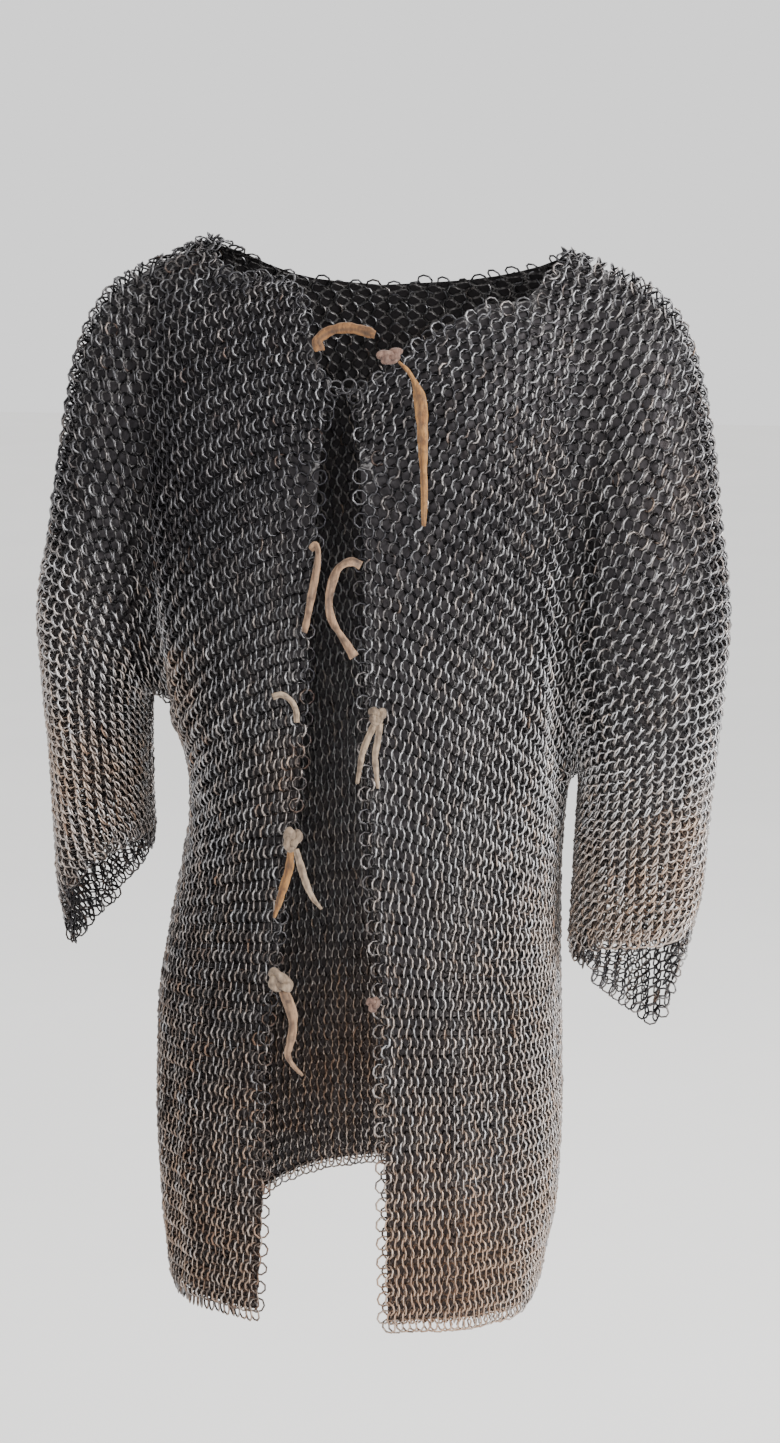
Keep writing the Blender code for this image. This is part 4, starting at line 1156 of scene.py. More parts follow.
def iron_links_worn_and_painted_light():
    """Drawn iron wire, forged into links and never polished: a dull grey skin where the air has
    tarnished it, with orange-brown rust in patches and fine pitting. The proud side of each link is
    painted brighter, a painted highlight together with the rubbing there, and its lower side in the
    hollows deep grey-brown, which is painted shade; the tone carries painted light and shade too."""
    material, tree = new_material("drawn_iron_links")
    places = add(tree, "ShaderNodeTexCoord").outputs["Object"]
    rust = add(tree, "ShaderNodeAttribute", {"attribute_name": "rust"}).outputs["Fac"]
    tone_and_painted_light = add(tree, "ShaderNodeAttribute", {"attribute_name": "tone_and_painted_light"}).outputs["Fac"]
    height = add(tree, "ShaderNodeAttribute", {"attribute_name": "height"}).outputs["Fac"]
    clouds = add(tree, "ShaderNodeTexNoise", None,  # tarnish a hand's width across
                 {"Vector": places, "Scale": 1000 / 60, "Detail": 3.0, "Roughness": 0.6}).outputs["Fac"]
    grains = add(tree, "ShaderNodeTexNoise", None,  # skin of the wire, drawn at 3 mm so that it shows
                 {"Vector": places, "Scale": 1000 / 3, "Detail": 4.0, "Roughness": 0.6}).outputs["Fac"]
    patches = add(tree, "ShaderNodeTexNoise", None,
                  {"Vector": places, "Scale": 1000 / 9, "Detail": 4.0, "Roughness": 0.6}).outputs["Fac"]
    pits = add(tree, "ShaderNodeTexNoise", None,
               {"Vector": places, "Scale": 1000 / 0.8, "Detail": 3.0, "Roughness": 0.6}).outputs["Fac"]
    # painted highlight and painted shade: the raised side of each link lighter, its lower side darker
    proud = add(tree, "ShaderNodeMapRange", None,
                {0: height, 1: -LINK_STANDS, 2: LINK_STANDS, 3: -0.5, 4: 0.30}).outputs[0]
    cloudy = add(tree, "ShaderNodeMapRange", None, {0: clouds, 1: 0.3, 2: 0.7, 3: -0.18, 4: 0.18}).outputs[0]
    shade = add(tree, "ShaderNodeMath", {"operation": "ADD"}, {0: tone_and_painted_light, 1: proud}).outputs[0]
    lit = add(tree, "ShaderNodeMath", {"operation": "ADD", "use_clamp": True},
              {0: shade, 1: cloudy}).outputs[0]
    base = add(tree, "ShaderNodeMix", {"data_type": "RGBA"},
               {0: lit, 6: colour(IRON_DARK), 7: colour(IRON_MID)}).outputs[2]
    # mixed towards bright iron on the raised side: a painted highlight, with rubbing wear as well
    highlight_and_rub_amount = add(tree, "ShaderNodeMath", {"operation": "MULTIPLY_ADD"},
              {0: shade, 1: 0.55, 2: grains}).outputs[0]
    highlight_and_rub_share = add(tree, "ShaderNodeMapRange", None, {0: highlight_and_rub_amount, 1: 0.75, 2: 1.02, 3: 0.0, 4: 0.80}).outputs[0]
    base = add(tree, "ShaderNodeMix", {"data_type": "RGBA"},
               {0: highlight_and_rub_share, 6: base, 7: colour(IRON_BRIGHT)}).outputs[2]
    warm = add(tree, "ShaderNodeMapRange", None, {0: rust, 1: 0.0, 2: 0.5, 3: 0.0, 4: 1.0}).outputs[0]
    base = add(tree, "ShaderNodeMix", {"data_type": "RGBA", "blend_type": "MULTIPLY"},
               {0: warm, 6: base, 7: colour(TARNISH)}).outputs[2]
    mottle = add(tree, "ShaderNodeMapRange", None, {0: patches, 1: 0.3, 2: 0.7, 3: -0.3, 4: 0.3}).outputs[0]
    patchy = add(tree, "ShaderNodeMath", {"operation": "ADD"}, {0: rust, 1: mottle}).outputs[0]
    rusty = add(tree, "ShaderNodeMapRange", None, {0: patchy, 1: 0.3, 2: 0.95, 3: 0.0, 4: 0.8}).outputs[0]
    orange = add(tree, "ShaderNodeMix", {"data_type": "RGBA"},
                 {0: grains, 6: colour(RUST_DARK), 7: colour(RUST_BRIGHT)}).outputs[2]
    base = add(tree, "ShaderNodeMix", {"data_type": "RGBA"}, {0: rusty, 6: base, 7: orange}).outputs[2]
    dull = add(tree, "ShaderNodeMapRange", None, {0: grains, 1: 0.3, 2: 0.7, 3: 0.30, 4: 0.50}).outputs[0]
    rough = add(tree, "ShaderNodeMath", {"operation": "MULTIPLY_ADD"},
                {0: rusty, 1: 0.25, 2: dull}).outputs[0]
    metal = add(tree, "ShaderNodeMapRange", None, {0: rusty, 1: 0.0, 2: 1.0, 3: 0.95, 4: 0.35}).outputs[0]
    bump = add(tree, "ShaderNodeBump", None,
               {"Strength": 0.35, "Distance": 0.0002, "Height": pits}).outputs[0]
    shader = add(tree, "ShaderNodeBsdfPrincipled", None,
                 {"Base Color": base, "Metallic": metal, "Roughness": rough, "Normal": bump}).outputs[0]
    add(tree, "ShaderNodeOutputMaterial", None, {"Surface": shader})
    return material


def shaded_links_web():
    """The far side of the mail, seen between the links: near black, which is painted shade, with the
    dull backs of links showing as grey arcs on every ring place, painted in that shade. It reads the ring
    counts from its own UV map."""
    material, tree = new_material("shaded_iron_links")
    places = add(tree, "ShaderNodeTexCoord").outputs["Object"]
    rust = add(tree, "ShaderNodeAttribute", {"attribute_name": "rust"}).outputs["Fac"]
    tone_and_painted_light = add(tree, "ShaderNodeAttribute", {"attribute_name": "tone_and_painted_light"}).outputs["Fac"]
    counts = add(tree, "ShaderNodeUVMap", {"uv_map": "rows"}).outputs[0]
    split = add(tree, "ShaderNodeSeparateXYZ", None, {0: counts}).outputs
    row = add(tree, "ShaderNodeMath", {"operation": "FLOOR"}, {0: split[1]}).outputs[0]
    arcs = []
    for step in (0.0, 1.0):
        at = add(tree, "ShaderNodeMath", {"operation": "ADD"}, {0: row, 1: step}).outputs[0]
        odd = add(tree, "ShaderNodeMath", {"operation": "FLOORED_MODULO"}, {0: at, 1: 2.0}).outputs[0]
        shifted = add(tree, "ShaderNodeMath", {"operation": "MULTIPLY_ADD"},
                      {0: odd, 1: -0.5, 2: split[0]}).outputs[0]
        whole = add(tree, "ShaderNodeMath", {"operation": "ROUND"}, {0: shifted}).outputs[0]
        over = add(tree, "ShaderNodeMath", {"operation": "SUBTRACT"}, {0: shifted, 1: whole}).outputs[0]
        wide = add(tree, "ShaderNodeMath", {"operation": "DIVIDE"}, {0: over, 1: UNDER_LINK_WIDE}).outputs[0]
        up = add(tree, "ShaderNodeMath", {"operation": "SUBTRACT"}, {0: split[1], 1: at}).outputs[0]
        high = add(tree, "ShaderNodeMath", {"operation": "DIVIDE"}, {0: up, 1: UNDER_LINK_HIGH}).outputs[0]
        spot = add(tree, "ShaderNodeCombineXYZ", None, {0: wide, 1: high}).outputs[0]
        far = add(tree, "ShaderNodeVectorMath", {"operation": "LENGTH"}, {0: spot}).outputs["Value"]
        off = add(tree, "ShaderNodeMath", {"operation": "SUBTRACT"}, {0: far, 1: 1.0}).outputs[0]
        gap = add(tree, "ShaderNodeMath", {"operation": "ABSOLUTE"}, {0: off}).outputs[0]
        arcs.append(add(tree, "ShaderNodeMapRange", {"interpolation_type": "SMOOTHSTEP"},
                        {0: gap, 1: 0.05, 2: 0.24, 3: 1.0, 4: 0.0}).outputs[0])
    arc = add(tree, "ShaderNodeMath", {"operation": "MAXIMUM"}, {0: arcs[0], 1: arcs[1]}).outputs[0]
    crumbs = add(tree, "ShaderNodeTexNoise", None,  # odd bits of links catching the light
                 {"Vector": places, "Scale": 1000 / 4, "Detail": 3.0, "Roughness": 0.65}).outputs["Fac"]
    broken = add(tree, "ShaderNodeMapRange", None, {0: crumbs, 1: 0.38, 2: 0.62, 3: 0.15, 4: 1.0}).outputs[0]
    shown = add(tree, "ShaderNodeMath", {"operation": "MULTIPLY"}, {0: arc, 1: broken}).outputs[0]
    brightness = add(tree, "ShaderNodeMath", {"operation": "MULTIPLY_ADD", "use_clamp": True},
                     {0: tone_and_painted_light, 1: 0.8, 2: 0.2}).outputs[0]
    link = add(tree, "ShaderNodeMix", {"data_type": "RGBA"},
               {0: brightness, 6: colour(WEB_MID), 7: colour(WEB_BRIGHT)}).outputs[2]
    shade = add(tree, "ShaderNodeMix", {"data_type": "RGBA"},
                {0: brightness, 6: colour(WEB_DARK), 7: colour(WEB_PALE)}).outputs[2]
    base = add(tree, "ShaderNodeMix", {"data_type": "RGBA"}, {0: shown, 6: shade, 7: link}).outputs[2]
    rusty = add(tree, "ShaderNodeMapRange", None, {0: rust, 1: 0.1, 2: 0.9, 3: 0.0, 4: 0.8}).outputs[0]
    orange = add(tree, "ShaderNodeMix", {"data_type": "RGBA"},
                 {0: shown, 6: colour(WEB_RUST_DARK), 7: colour(WEB_RUST_BRIGHT)}).outputs[2]
    base = add(tree, "ShaderNodeMix", {"data_type": "RGBA"}, {0: rusty, 6: base, 7: orange}).outputs[2]
    rough = add(tree, "ShaderNodeMapRange", None, {0: crumbs, 1: 0.3, 2: 0.7, 3: 0.75, 4: 0.5}).outputs[0]
    bump = add(tree, "ShaderNodeBump", None, {"Strength": 0.8, "Distance": 0.0012, "Height": arc}).outputs[0]
    shader = add(tree, "ShaderNodeBsdfPrincipled", None,
                 {"Base Color": base, "Metallic": 1.0, "Roughness": rough, "Normal": bump}).outputs[0]
    add(tree, "ShaderNodeOutputMaterial", None, {"Surface": shader})
    return material


def tie_leather(name, dark, mid, light):
    """Alum-tawed thong leather, cut in strips and softened by hand: matt, with a fine nap, long
    creases, and a greyer skin where fingers have been. Each strip is darker along its fold, which is painted
    shade, and paler towards its edges."""
    material, tree = new_material(name)
    places = add(tree, "ShaderNodeTexCoord").outputs["Object"]
    long_way = add(tree, "ShaderNodeMapping", None, {"Vector": places, "Scale": (1.0, 1.0, 0.22)}).outputs[0]
    streaks = add(tree, "ShaderNodeTexNoise", None,  # creases about 2 mm apart
                  {"Vector": long_way, "Scale": 1000 / 2.2, "Detail": 4.0, "Roughness": 0.6}).outputs["Fac"]
    soil = add(tree, "ShaderNodeTexNoise", None,
               {"Vector": places, "Scale": 1000 / 8, "Detail": 4.0, "Roughness": 0.6}).outputs["Fac"]
    nap = add(tree, "ShaderNodeTexNoise", None,
              {"Vector": places, "Scale": 1000 / 0.5, "Detail": 2.0, "Roughness": 0.6}).outputs["Fac"]
    light_share = add(tree, "ShaderNodeMapRange", None,
                      {0: streaks, 1: 0.3, 2: 0.7, 3: 0.0, 4: 1.0}).outputs[0]
    base = add(tree, "ShaderNodeMix", {"data_type": "RGBA"},
               {0: light_share, 6: colour(mid), 7: colour(light)}).outputs[2]
    soiled = add(tree, "ShaderNodeMapRange", None, {0: soil, 1: 0.45, 2: 0.68, 3: 0.0, 4: 0.85}).outputs[0]
    base = add(tree, "ShaderNodeMix", {"data_type": "RGBA"}, {0: soiled, 6: base, 7: colour(dark)}).outputs[2]
    across = add(tree, "ShaderNodeAttribute", {"attribute_name": "across"}).outputs["Fac"]
    from_crease = add(tree, "ShaderNodeMath", {"operation": "SUBTRACT"},
                      {0: across, 1: CREASE_ACROSS}).outputs[0]
    beside = add(tree, "ShaderNodeMath", {"operation": "ABSOLUTE"}, {0: from_crease}).outputs[0]
    # painted shade: each strip is darkened along the line of its fold
    folded = add(tree, "ShaderNodeMapRange", {"interpolation_type": "SMOOTHSTEP"},
                 {0: beside, 1: 0.05, 2: 0.55, 3: 0.55, 4: 0.0}).outputs[0]
    base = add(tree, "ShaderNodeMix", {"data_type": "RGBA"}, {0: folded, 6: base, 7: colour(dark)}).outputs[2]
    # each strip is mixed towards its light colour near both edges
    outward = add(tree, "ShaderNodeMath", {"operation": "ABSOLUTE"}, {0: across}).outputs[0]
    pale_edges = add(tree, "ShaderNodeMapRange", None, {0: outward, 1: 0.75, 2: 1.0, 3: 0.0, 4: 0.7}).outputs[0]
    base = add(tree, "ShaderNodeMix", {"data_type": "RGBA"},
               {0: pale_edges, 6: base, 7: colour(light)}).outputs[2]
    height = add(tree, "ShaderNodeMath", {"operation": "MULTIPLY_ADD"},
                 {0: nap, 1: 0.3, 2: streaks}).outputs[0]
    bump = add(tree, "ShaderNodeBump", None,
               {"Strength": 0.9, "Distance": 0.0007, "Height": height}).outputs[0]
    rough = add(tree, "ShaderNodeMapRange", None, {0: streaks, 1: 0.3, 2: 0.7, 3: 0.85, 4: 0.6}).outputs[0]
    shader = add(tree, "ShaderNodeBsdfPrincipled", None,
                 {"Base Color": base, "Roughness": rough, "IOR": 1.5, "Normal": bump, "Sheen Weight": 0.1,
                  "Sheen Roughness": 0.5}).outputs[0]
    add(tree, "ShaderNodeOutputMaterial", None, {"Surface": shader})
    return material


# ---- camera ----
def make_camera():
    data = bpy.data.cameras.new("camera")
    data.lens = CAMERA_LENS
    camera = bpy.data.objects.new("camera", data)
    around, above = math.radians(CAMERA_AZIMUTH), math.radians(CAMERA_ELEVATION)
    back = Vector((
        math.sin(around) * math.cos(above), -math.cos(around) * math.cos(above), math.sin(above)
    ))
    camera.location = CAMERA_PLACE
    camera.rotation_euler = back.to_track_quat("Z", "Y").to_euler()
    bpy.context.scene.collection.objects.link(camera)
    bpy.context.scene.camera = camera


# ---- leather ties ----
def smooth_route(points, steps):
    """Points of a Catmull-Rom curve through the route, the same number between each two."""
    route = np.array(points, float)
    ends = np.concatenate([2 * route[:1] - route[1:2], route, 2 * route[-1:] - route[-2:-1]])
    t = np.arange(steps)[None, :, None] / steps
    curve = catmull_rom(*(ends[k : k + len(route) - 1, None, :] for k in range(4)), t)
    return np.concatenate([curve.reshape(-1, 3), route[-1:]])


def stitch(mesh, loops, next_loops):
    """Makes faces between each loop of corners and the next."""
    for here, ahead in zip(loops, next_loops):
        for k in range(len(here)):
            m = (k + 1) % len(here)
            mesh.faces.new((here[k], here[m], ahead[m], ahead[k]))


def strip_mesh(name, route, widths, thickness, turns):
    """A flat leather strip along its route: a rounded section whose width and turn change along it."""
    tangents = unit(np.gradient(route, axis=0))
    facing = np.array([0.0, -1.0, 0.0])
    share = np.linspace(0.0, 1.0, len(route))
    width = np.interp(share, np.linspace(0, 1, len(widths)), widths)
    turn = np.radians(np.interp(share, np.linspace(0, 1, len(turns)), turns))
    flat = unit(along_surface(np.broadcast_to(facing, route.shape), tangents))
    side = np.cross(tangents, flat)
    normal = flat * np.cos(turn)[:, None] + side * np.sin(turn)[:, None]
    side = np.cross(tangents, normal)
    # cut by hand: the edges wander a little
    waves = 1 + 0.07 * np.sin(share * 23 + route[0, 2] * 90)
    width = width * (waves + 0.05 * np.sin(share * 51 + route[0, 0] * 70))
    width = np.minimum(width, max(widths))
    around = np.linspace(0.0, 2 * np.pi, STRIP_FACETS, endpoint=False)
    reach = np.sign(np.cos(around)) * np.abs(np.cos(around)) ** SECTION_SQUARE
    rise = np.sign(np.sin(around)) * np.abs(np.sin(around)) ** SECTION_SQUARE
    thin = np.minimum(thickness, width * 0.8)
    from_end = np.minimum(share, 1 - share)
    thin = thin * np.clip(END_THICKNESS + (1 - END_THICKNESS) * from_end / END_TAPER, END_THICKNESS, 1.0)
    crease = CREASE_DEPTH * np.exp(-(((reach - CREASE_ACROSS) / CREASE_WIDTH) ** 2))
    points = (
        route[:, None]
        + side[:, None] * (reach[None, :, None] * width[:, None, None] / 2)
        + normal[:, None] * ((rise - crease)[None, :, None] * thin[:, None, None] / 2)
        + normal[:, None] * ((0.4 - reach[None, :, None] ** 2) * width[:, None, None] * CUPPING / 2)
    )
    mesh = bmesh.new()
    layer = mesh.verts.layers.float.new("across")
    loops = [[mesh.verts.new(point) for point in ring] for ring in points]
    for loop in loops:
        for vertex, at in zip(loop, reach):
            vertex[layer] = at
    stitch(mesh, loops, loops[1:])
    mesh.faces.new(loops[0][::-1])
    mesh.faces.new(loops[-1])
    return finished(name, mesh)


def knot_mesh(name, knot):
    """A thong pulled tight in an overhand knot: one closed line that crosses itself three times."""
    around = np.linspace(0.0, 2 * np.pi, KNOT_STEPS, endpoint=False)
    line = np.stack([
        np.sin(around) + 2 * np.sin(2 * around),
        -1.3 * np.sin(3 * around),
        np.cos(around) - 2 * np.cos(2 * around),
    ], 1) / 3.0
    size = np.array(knot.size)
    swell = 1.0 + 0.16 * np.sin(5 * around + knot.size[0] * 900)
    swell = swell + 0.10 * np.sin(11 * around + knot.size[2] * 700)
    thick = KNOT_THICKNESS * swell
    tangents = unit(np.roll(line, -1, 0) - np.roll(line, 1, 0))
    first = unit(along_surface(np.broadcast_to([0.0, 1.0, 0.0], line.shape), tangents))
    second = np.cross(tangents, first)
    mesh = bmesh.new()
    loops = []
    tilt = math.radians(knot.tilt)
    turn = np.array([[math.cos(tilt), 0, math.sin(tilt)], [0, 1, 0], [-math.sin(tilt), 0, math.cos(tilt)]])
    for place, a, b, r in zip(line, first, second, thick):
        loop = []
        for k in range(KNOT_FACETS):
            angle = 2 * math.pi * k / KNOT_FACETS
            out = (a * math.cos(angle) * 1.15 + b * math.sin(angle) * 0.9) * r
            point = place * (1 - KNOT_THICKNESS) + out
            loop.append(mesh.verts.new(Vector(knot.centre) + Vector(turn @ (point * size / 2))))
        loops.append(loop)
    stitch(mesh, loops, loops[1:] + loops[:1])
    return finished(name, mesh)


def finished(name, mesh):
    """Makes an object of a bmesh, its faces outwards and smooth."""
    bmesh.ops.recalc_face_normals(mesh, faces=mesh.faces[:])
    for face in mesh.faces:
        face.smooth = True
    return shown(name, mesh)


def shown(name, mesh):
    """Turns a bmesh into an object in the scene."""
    data = bpy.data.meshes.new(name)
    mesh.to_mesh(data)
    mesh.free()
    return in_scene(name, data)


def in_scene(name, data):
    thing = bpy.data.objects.new(name, data)
    bpy.context.scene.collection.objects.link(thing)
    return thing


def make_ties(leathers):
    for knot in KNOTS:
        thing = knot_mesh(knot.name + "_tied", knot)
        thing.data.materials.append(leathers[knot.leather])
        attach(thing, "root")
        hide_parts(knot.name)
    for tie in TIES:
        route = smooth_route(tie.points, ROUTE_STEPS)
        thing = strip_mesh(tie.name + "_cut", route, tie.widths, tie.thickness, tie.turns)
        thing.data.materials.append(leathers[tie.leather])
        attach(thing, "root")
        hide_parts(tie.name)


# ---- mail pieces ----

def joining_links(material, chance):
    """The links that join the fronts at the neck: separate rings, closer to the eye, so rounder."""
    mesh = bmesh.new()
    around = np.linspace(0.0, 2 * np.pi, LINK_RING_STEPS, endpoint=False)
    section = np.linspace(0.0, 2 * np.pi, LINK_WIRE_STEPS, endpoint=False)
    for ring in LINK_RINGS:
        axis = unit(np.array(ring.facing))
        first = unit(np.cross(axis, [0.3, 0.2, 0.9]))
        second = np.cross(axis, first)
        loops = []
        for angle in around:
            out = first * math.cos(angle) + second * math.sin(angle)
            centre = np.array(ring.centre) + out * (RING - WIRE) / 2
            loops.append([
                mesh.verts.new(centre + (out * math.cos(turn) + axis * math.sin(turn)) * WIRE / 2)
                for turn in section
            ])
        stitch(mesh, loops, loops[1:] + loops[:1])
    thing = finished("neck_links_joined", mesh)
    count = len(thing.data.vertices)
    for label, value in JOINING_LINKS_LOOK:
        values = chance.normal(value, 0.001, count).astype(np.float32)
        thing.data.attributes.new(label, "FLOAT", "POINT").data.foreach_set("value", values)
    thing.data.materials.append(material)
    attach(thing, "root")
    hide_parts("neck_link_ring")


def ring_tree():
    """Makes a link at every point: a wire of few facets bent into a ring, turned as its point says."""
    tree = bpy.data.node_groups.new("mail_links", "GeometryNodeTree")
    face = tree.interface
    face.new_socket("Places", in_out="INPUT", socket_type="NodeSocketGeometry")
    for label in ("Ring diameter", "Wire diameter"):
        face.new_socket(label, in_out="INPUT", socket_type="NodeSocketFloat")
    for label in ("Ring facets", "Wire facets", "Seed"):
        face.new_socket(label, in_out="INPUT", socket_type="NodeSocketInt")
    face.new_socket("Finish", in_out="INPUT", socket_type="NodeSocketMaterial")
    face.new_socket("Links", in_out="OUTPUT", socket_type="NodeSocketGeometry")
    given = add(tree, "NodeGroupInput").outputs
    half_wire = add(tree, "ShaderNodeMath", {"operation": "MULTIPLY"},
                    {0: given["Wire diameter"], 1: 0.5}).outputs[0]
    gap = add(tree, "ShaderNodeMath", {"operation": "SUBTRACT"},
              {0: given["Ring diameter"], 1: given["Wire diameter"]}).outputs[0]
    radius = add(tree, "ShaderNodeMath", {"operation": "MULTIPLY"}, {0: gap, 1: LINK_REACH}).outputs[0]
    corner = add(tree, "ShaderNodeMath", {"operation": "MULTIPLY"}, {0: half_wire, 1: WIRE_REACH}).outputs[0]
    bend = add(tree, "GeometryNodeCurvePrimitiveCircle", {"mode": "RADIUS"},
               {"Resolution": given["Ring facets"], "Radius": radius}).outputs[0]
    section = add(tree, "GeometryNodeCurvePrimitiveCircle", {"mode": "RADIUS"},
                  {"Resolution": given["Wire facets"], "Radius": corner}).outputs[0]
    link = add(tree, "GeometryNodeCurveToMesh", None, {"Curve": bend, "Profile Curve": section}).outputs[0]
    link = add(tree, "GeometryNodeSetShadeSmooth", None, {"Geometry": link, "Shade Smooth": True}).outputs[0]
    spin = add(tree, "GeometryNodeInputNamedAttribute", {"data_type": "FLOAT_VECTOR"},
               {"Name": "spin"}).outputs[0]
    size = add(tree, "GeometryNodeInputNamedAttribute", {"data_type": "FLOAT"}, {"Name": "size"}).outputs[0]
    turned = add(tree, "FunctionNodeEulerToRotation", None, {0: spin}).outputs[0]
    placed = add(tree, "GeometryNodeInstanceOnPoints", None,
                 {"Points": given["Places"], "Instance": link, "Rotation": turned, "Scale": size})
    chance = add(tree, "FunctionNodeRandomValue", {"data_type": "FLOAT"},
                 {"Min": 0.0, "Max": 2 * math.pi, "Seed": given["Seed"]})
    around = add(tree, "ShaderNodeCombineXYZ", None, {"Z": chance.outputs["Value"]}).outputs[0]
    joint = add(tree, "FunctionNodeEulerToRotation", None, {0: around}).outputs[0]
    spun = add(tree, "GeometryNodeRotateInstances", None, {"Instances": placed.outputs[0], "Rotation": joint})
    real = add(tree, "GeometryNodeRealizeInstances", None, {"Geometry": spun.outputs[0]}).outputs[0]
    named = add(tree, "GeometryNodeSetMaterial", None,
                {"Geometry": real, "Material": given["Finish"]}).outputs[0]
    add(tree, "NodeGroupOutput", None, {0: named})
    return tree


def links_piece(name, tree, points, normals, turns, rust, tone_and_painted_light, sizes, material, seed, both_sides):
    """One mesh of separate links, made by the tree from a cloud of points."""
    cloud = bpy.data.meshes.new(name + "_places")
    cloud.vertices.add(len(points))
    cloud.vertices.foreach_set("co", np.asarray(points, np.float32).ravel())
    for label, kind, field, values in (
        ("spin", "FLOAT_VECTOR", "vector", turns), ("rust", "FLOAT", "value", rust),
        ("tone_and_painted_light", "FLOAT", "value", tone_and_painted_light), ("size", "FLOAT", "value", sizes),
    ):
        layer = cloud.attributes.new(label, kind, "POINT").data
        layer.foreach_set(field, np.asarray(values, np.float32).ravel())
    maker = in_scene(name + "_maker", cloud)
    modifier = maker.modifiers.new("links", "NODES")
    modifier.node_group = tree
    values = {
        "Ring diameter": RING, "Wire diameter": WIRE, "Ring facets": RING_FACETS,
        "Wire facets": WIRE_FACETS, "Seed": seed, "Finish": material,
    }
    for item in tree.interface.items_tree:
        if item.in_out == "INPUT" and item.name in values:
            modifier[item.identifier] = values[item.name]
    made = maker.evaluated_get(bpy.context.evaluated_depsgraph_get())
    mesh = bpy.data.meshes.new_from_object(made)
    bpy.data.objects.remove(maker, do_unlink=True)
    mesh.name = name
    if first_link_volume(mesh) < 0:
        mesh.flip_normals()
    tile_links(mesh, len(points))
    # how far each point stands out of the mail: the finish paints the raised side of each link with a painted
    # highlight, as well as rubbing, and its lower side with painted shade
    spots = vertex_places(mesh).reshape(-1, CORNERS_PER_LINK, 3)
    out = ((spots - np.asarray(points)[:, None]) * np.asarray(normals)[:, None]).sum(-1)
    if both_sides:
        out = np.abs(out)
    mesh.attributes.new("height", "FLOAT", "POINT").data.foreach_set("value", out.astype(np.float32).ravel())
    return in_scene(name, mesh)


def vertex_places(mesh):
    places = np.empty(len(mesh.vertices) * 3, np.float32)
    mesh.vertices.foreach_get("co", places)
    return places.reshape(-1, 3)


def quad_corners(mesh):
    """The four vertex numbers of each face."""
    corners = np.empty(len(mesh.loops), np.int32)
    mesh.loops.foreach_get("vertex_index", corners)
    return corners.reshape(-1, 4)


def first_link_volume(mesh):
    """Six times the volume inside the first link's faces: below nought when they point inwards."""
    quads = vertex_places(mesh)[quad_corners(mesh)[:CORNERS_PER_LINK]].astype(float)
    quads = quads - quads.mean((0, 1))
    return float(
        (np.cross(quads[:, 0], quads[:, 1]) * quads[:, 2]).sum()
        + (np.cross(quads[:, 0], quads[:, 2]) * quads[:, 3]).sum()
    )


def tile_links(mesh, count):
    """A UV map with one small tile for each link, so that its finish can be kept link by link."""
    corners = quad_corners(mesh)
    link = corners[:, 0] // CORNERS_PER_LINK
    local = corners % CORNERS_PER_LINK
    along, around = local // WIRE_FACETS, local % WIRE_FACETS
    over = (along.max(1) - along.min(1) > 1)[:, None] & (along == 0)
    along = along + over * RING_FACETS
    over = (around.max(1) - around.min(1) > 1)[:, None] & (around == 0)
    around = around + over * WIRE_FACETS
    side = math.ceil(math.sqrt(count))
    u = (link % side)[:, None] + TILE_MARGIN + TILE_SIZE * along / RING_FACETS
    v = (link // side)[:, None] + TILE_MARGIN + TILE_SIZE * around / WIRE_FACETS
    layer = mesh.uv_layers.new(name="OFBake")
    layer.data.foreach_set("uv", (np.stack([u, v], -1) / side).astype(np.float32).ravel())


def web_piece(name, patches, along, across, sheets, material, chance):
    """The under side of the mail, a dark web of painted shade a little inside the rings, from parts of the
    sheets.
    """
    mesh = bmesh.new()
    uv = mesh.loops.layers.uv.new("rows")
    rust_layer = mesh.verts.layers.float.new("rust")
    tone_and_painted_light_layer = mesh.verts.layers.float.new("tone_and_painted_light")
    for patch in patches:
        sheet = sheets[patch.key]
        grid = sheet.number
        rows = thinned(patch.rows, grid.shape[0])
        columns = thinned(patch.columns, grid.shape[1])
        picked = grid[np.ix_(rows, columns)]
        p = drawn_in(sheet, sheet.points.reshape(-1, 3) - sheet.normals * web_depths(sheet)[:, None])
        ragged = WEB_END_RAGGED * np.sin(p[:, 0] * 190 + p[:, 1] * 120)
        usable = ~np.isnan(p[:, 0]) & (p[:, 2] > patch.lowest + ragged)
        rust = wear_and_painted_light(p, RUST, chance)
        tone_and_painted_light = wear_and_painted_light(p, TONE_AND_PAINTED_LIGHT, chance)
        made = {}
        for n in picked.ravel():
            if usable[n]:
                vertex = mesh.verts.new(p[n])
                vertex[rust_layer], vertex[tone_and_painted_light_layer] = rust[n], tone_and_painted_light[n]
                made[n] = vertex
        forward = -patch.key[0] * patch.key[1] > 0
        for r in range(len(rows) - 1):
            for c in range(len(columns) - 1):
                square = [picked[r, c], picked[r, c + 1], picked[r + 1, c + 1], picked[r + 1, c]]
                if all(n in made for n in square):
                    face = mesh.faces.new([made[n] for n in (square if forward else square[::-1])])
                    face.smooth = True
                    for loop, n in zip(face.loops, square if forward else square[::-1]):
                        loop[uv].uv = (along[patch.key][n], across[patch.key][n])
    bmesh.ops.remove_doubles(mesh, verts=mesh.verts[:], dist=WEB_MERGE)
    thing = shown(name, mesh)
    thing.data.materials.append(material)
    return thing


def web_depths(sheet):
    """How far the web lies inside each of the surface's points. The back's lies in the middle of its
    links, so that its inner side shows them too, and goes in near the seams to meet the others."""
    rows, columns = sheet.points.shape[:2]
    row, column = np.arange(rows)[:, None], np.arange(columns)[None, :]
    if sheet.face == FRONT:
        return np.full(rows * columns, WEB_DEPTH)
    from_seam = (sheet.seam - column) / SEAM_COLUMNS + 0 * row
    from_shoulder = (rows - 1 - row) / SEAM_ROWS + np.maximum(sheet.corner - column, 0) / SEAM_ROWS
    share = np.clip(np.minimum(from_seam, from_shoulder), 0.0, 1.0)
    return between(WEB_DEPTH, WEB_DEPTH_BACK, share).ravel()


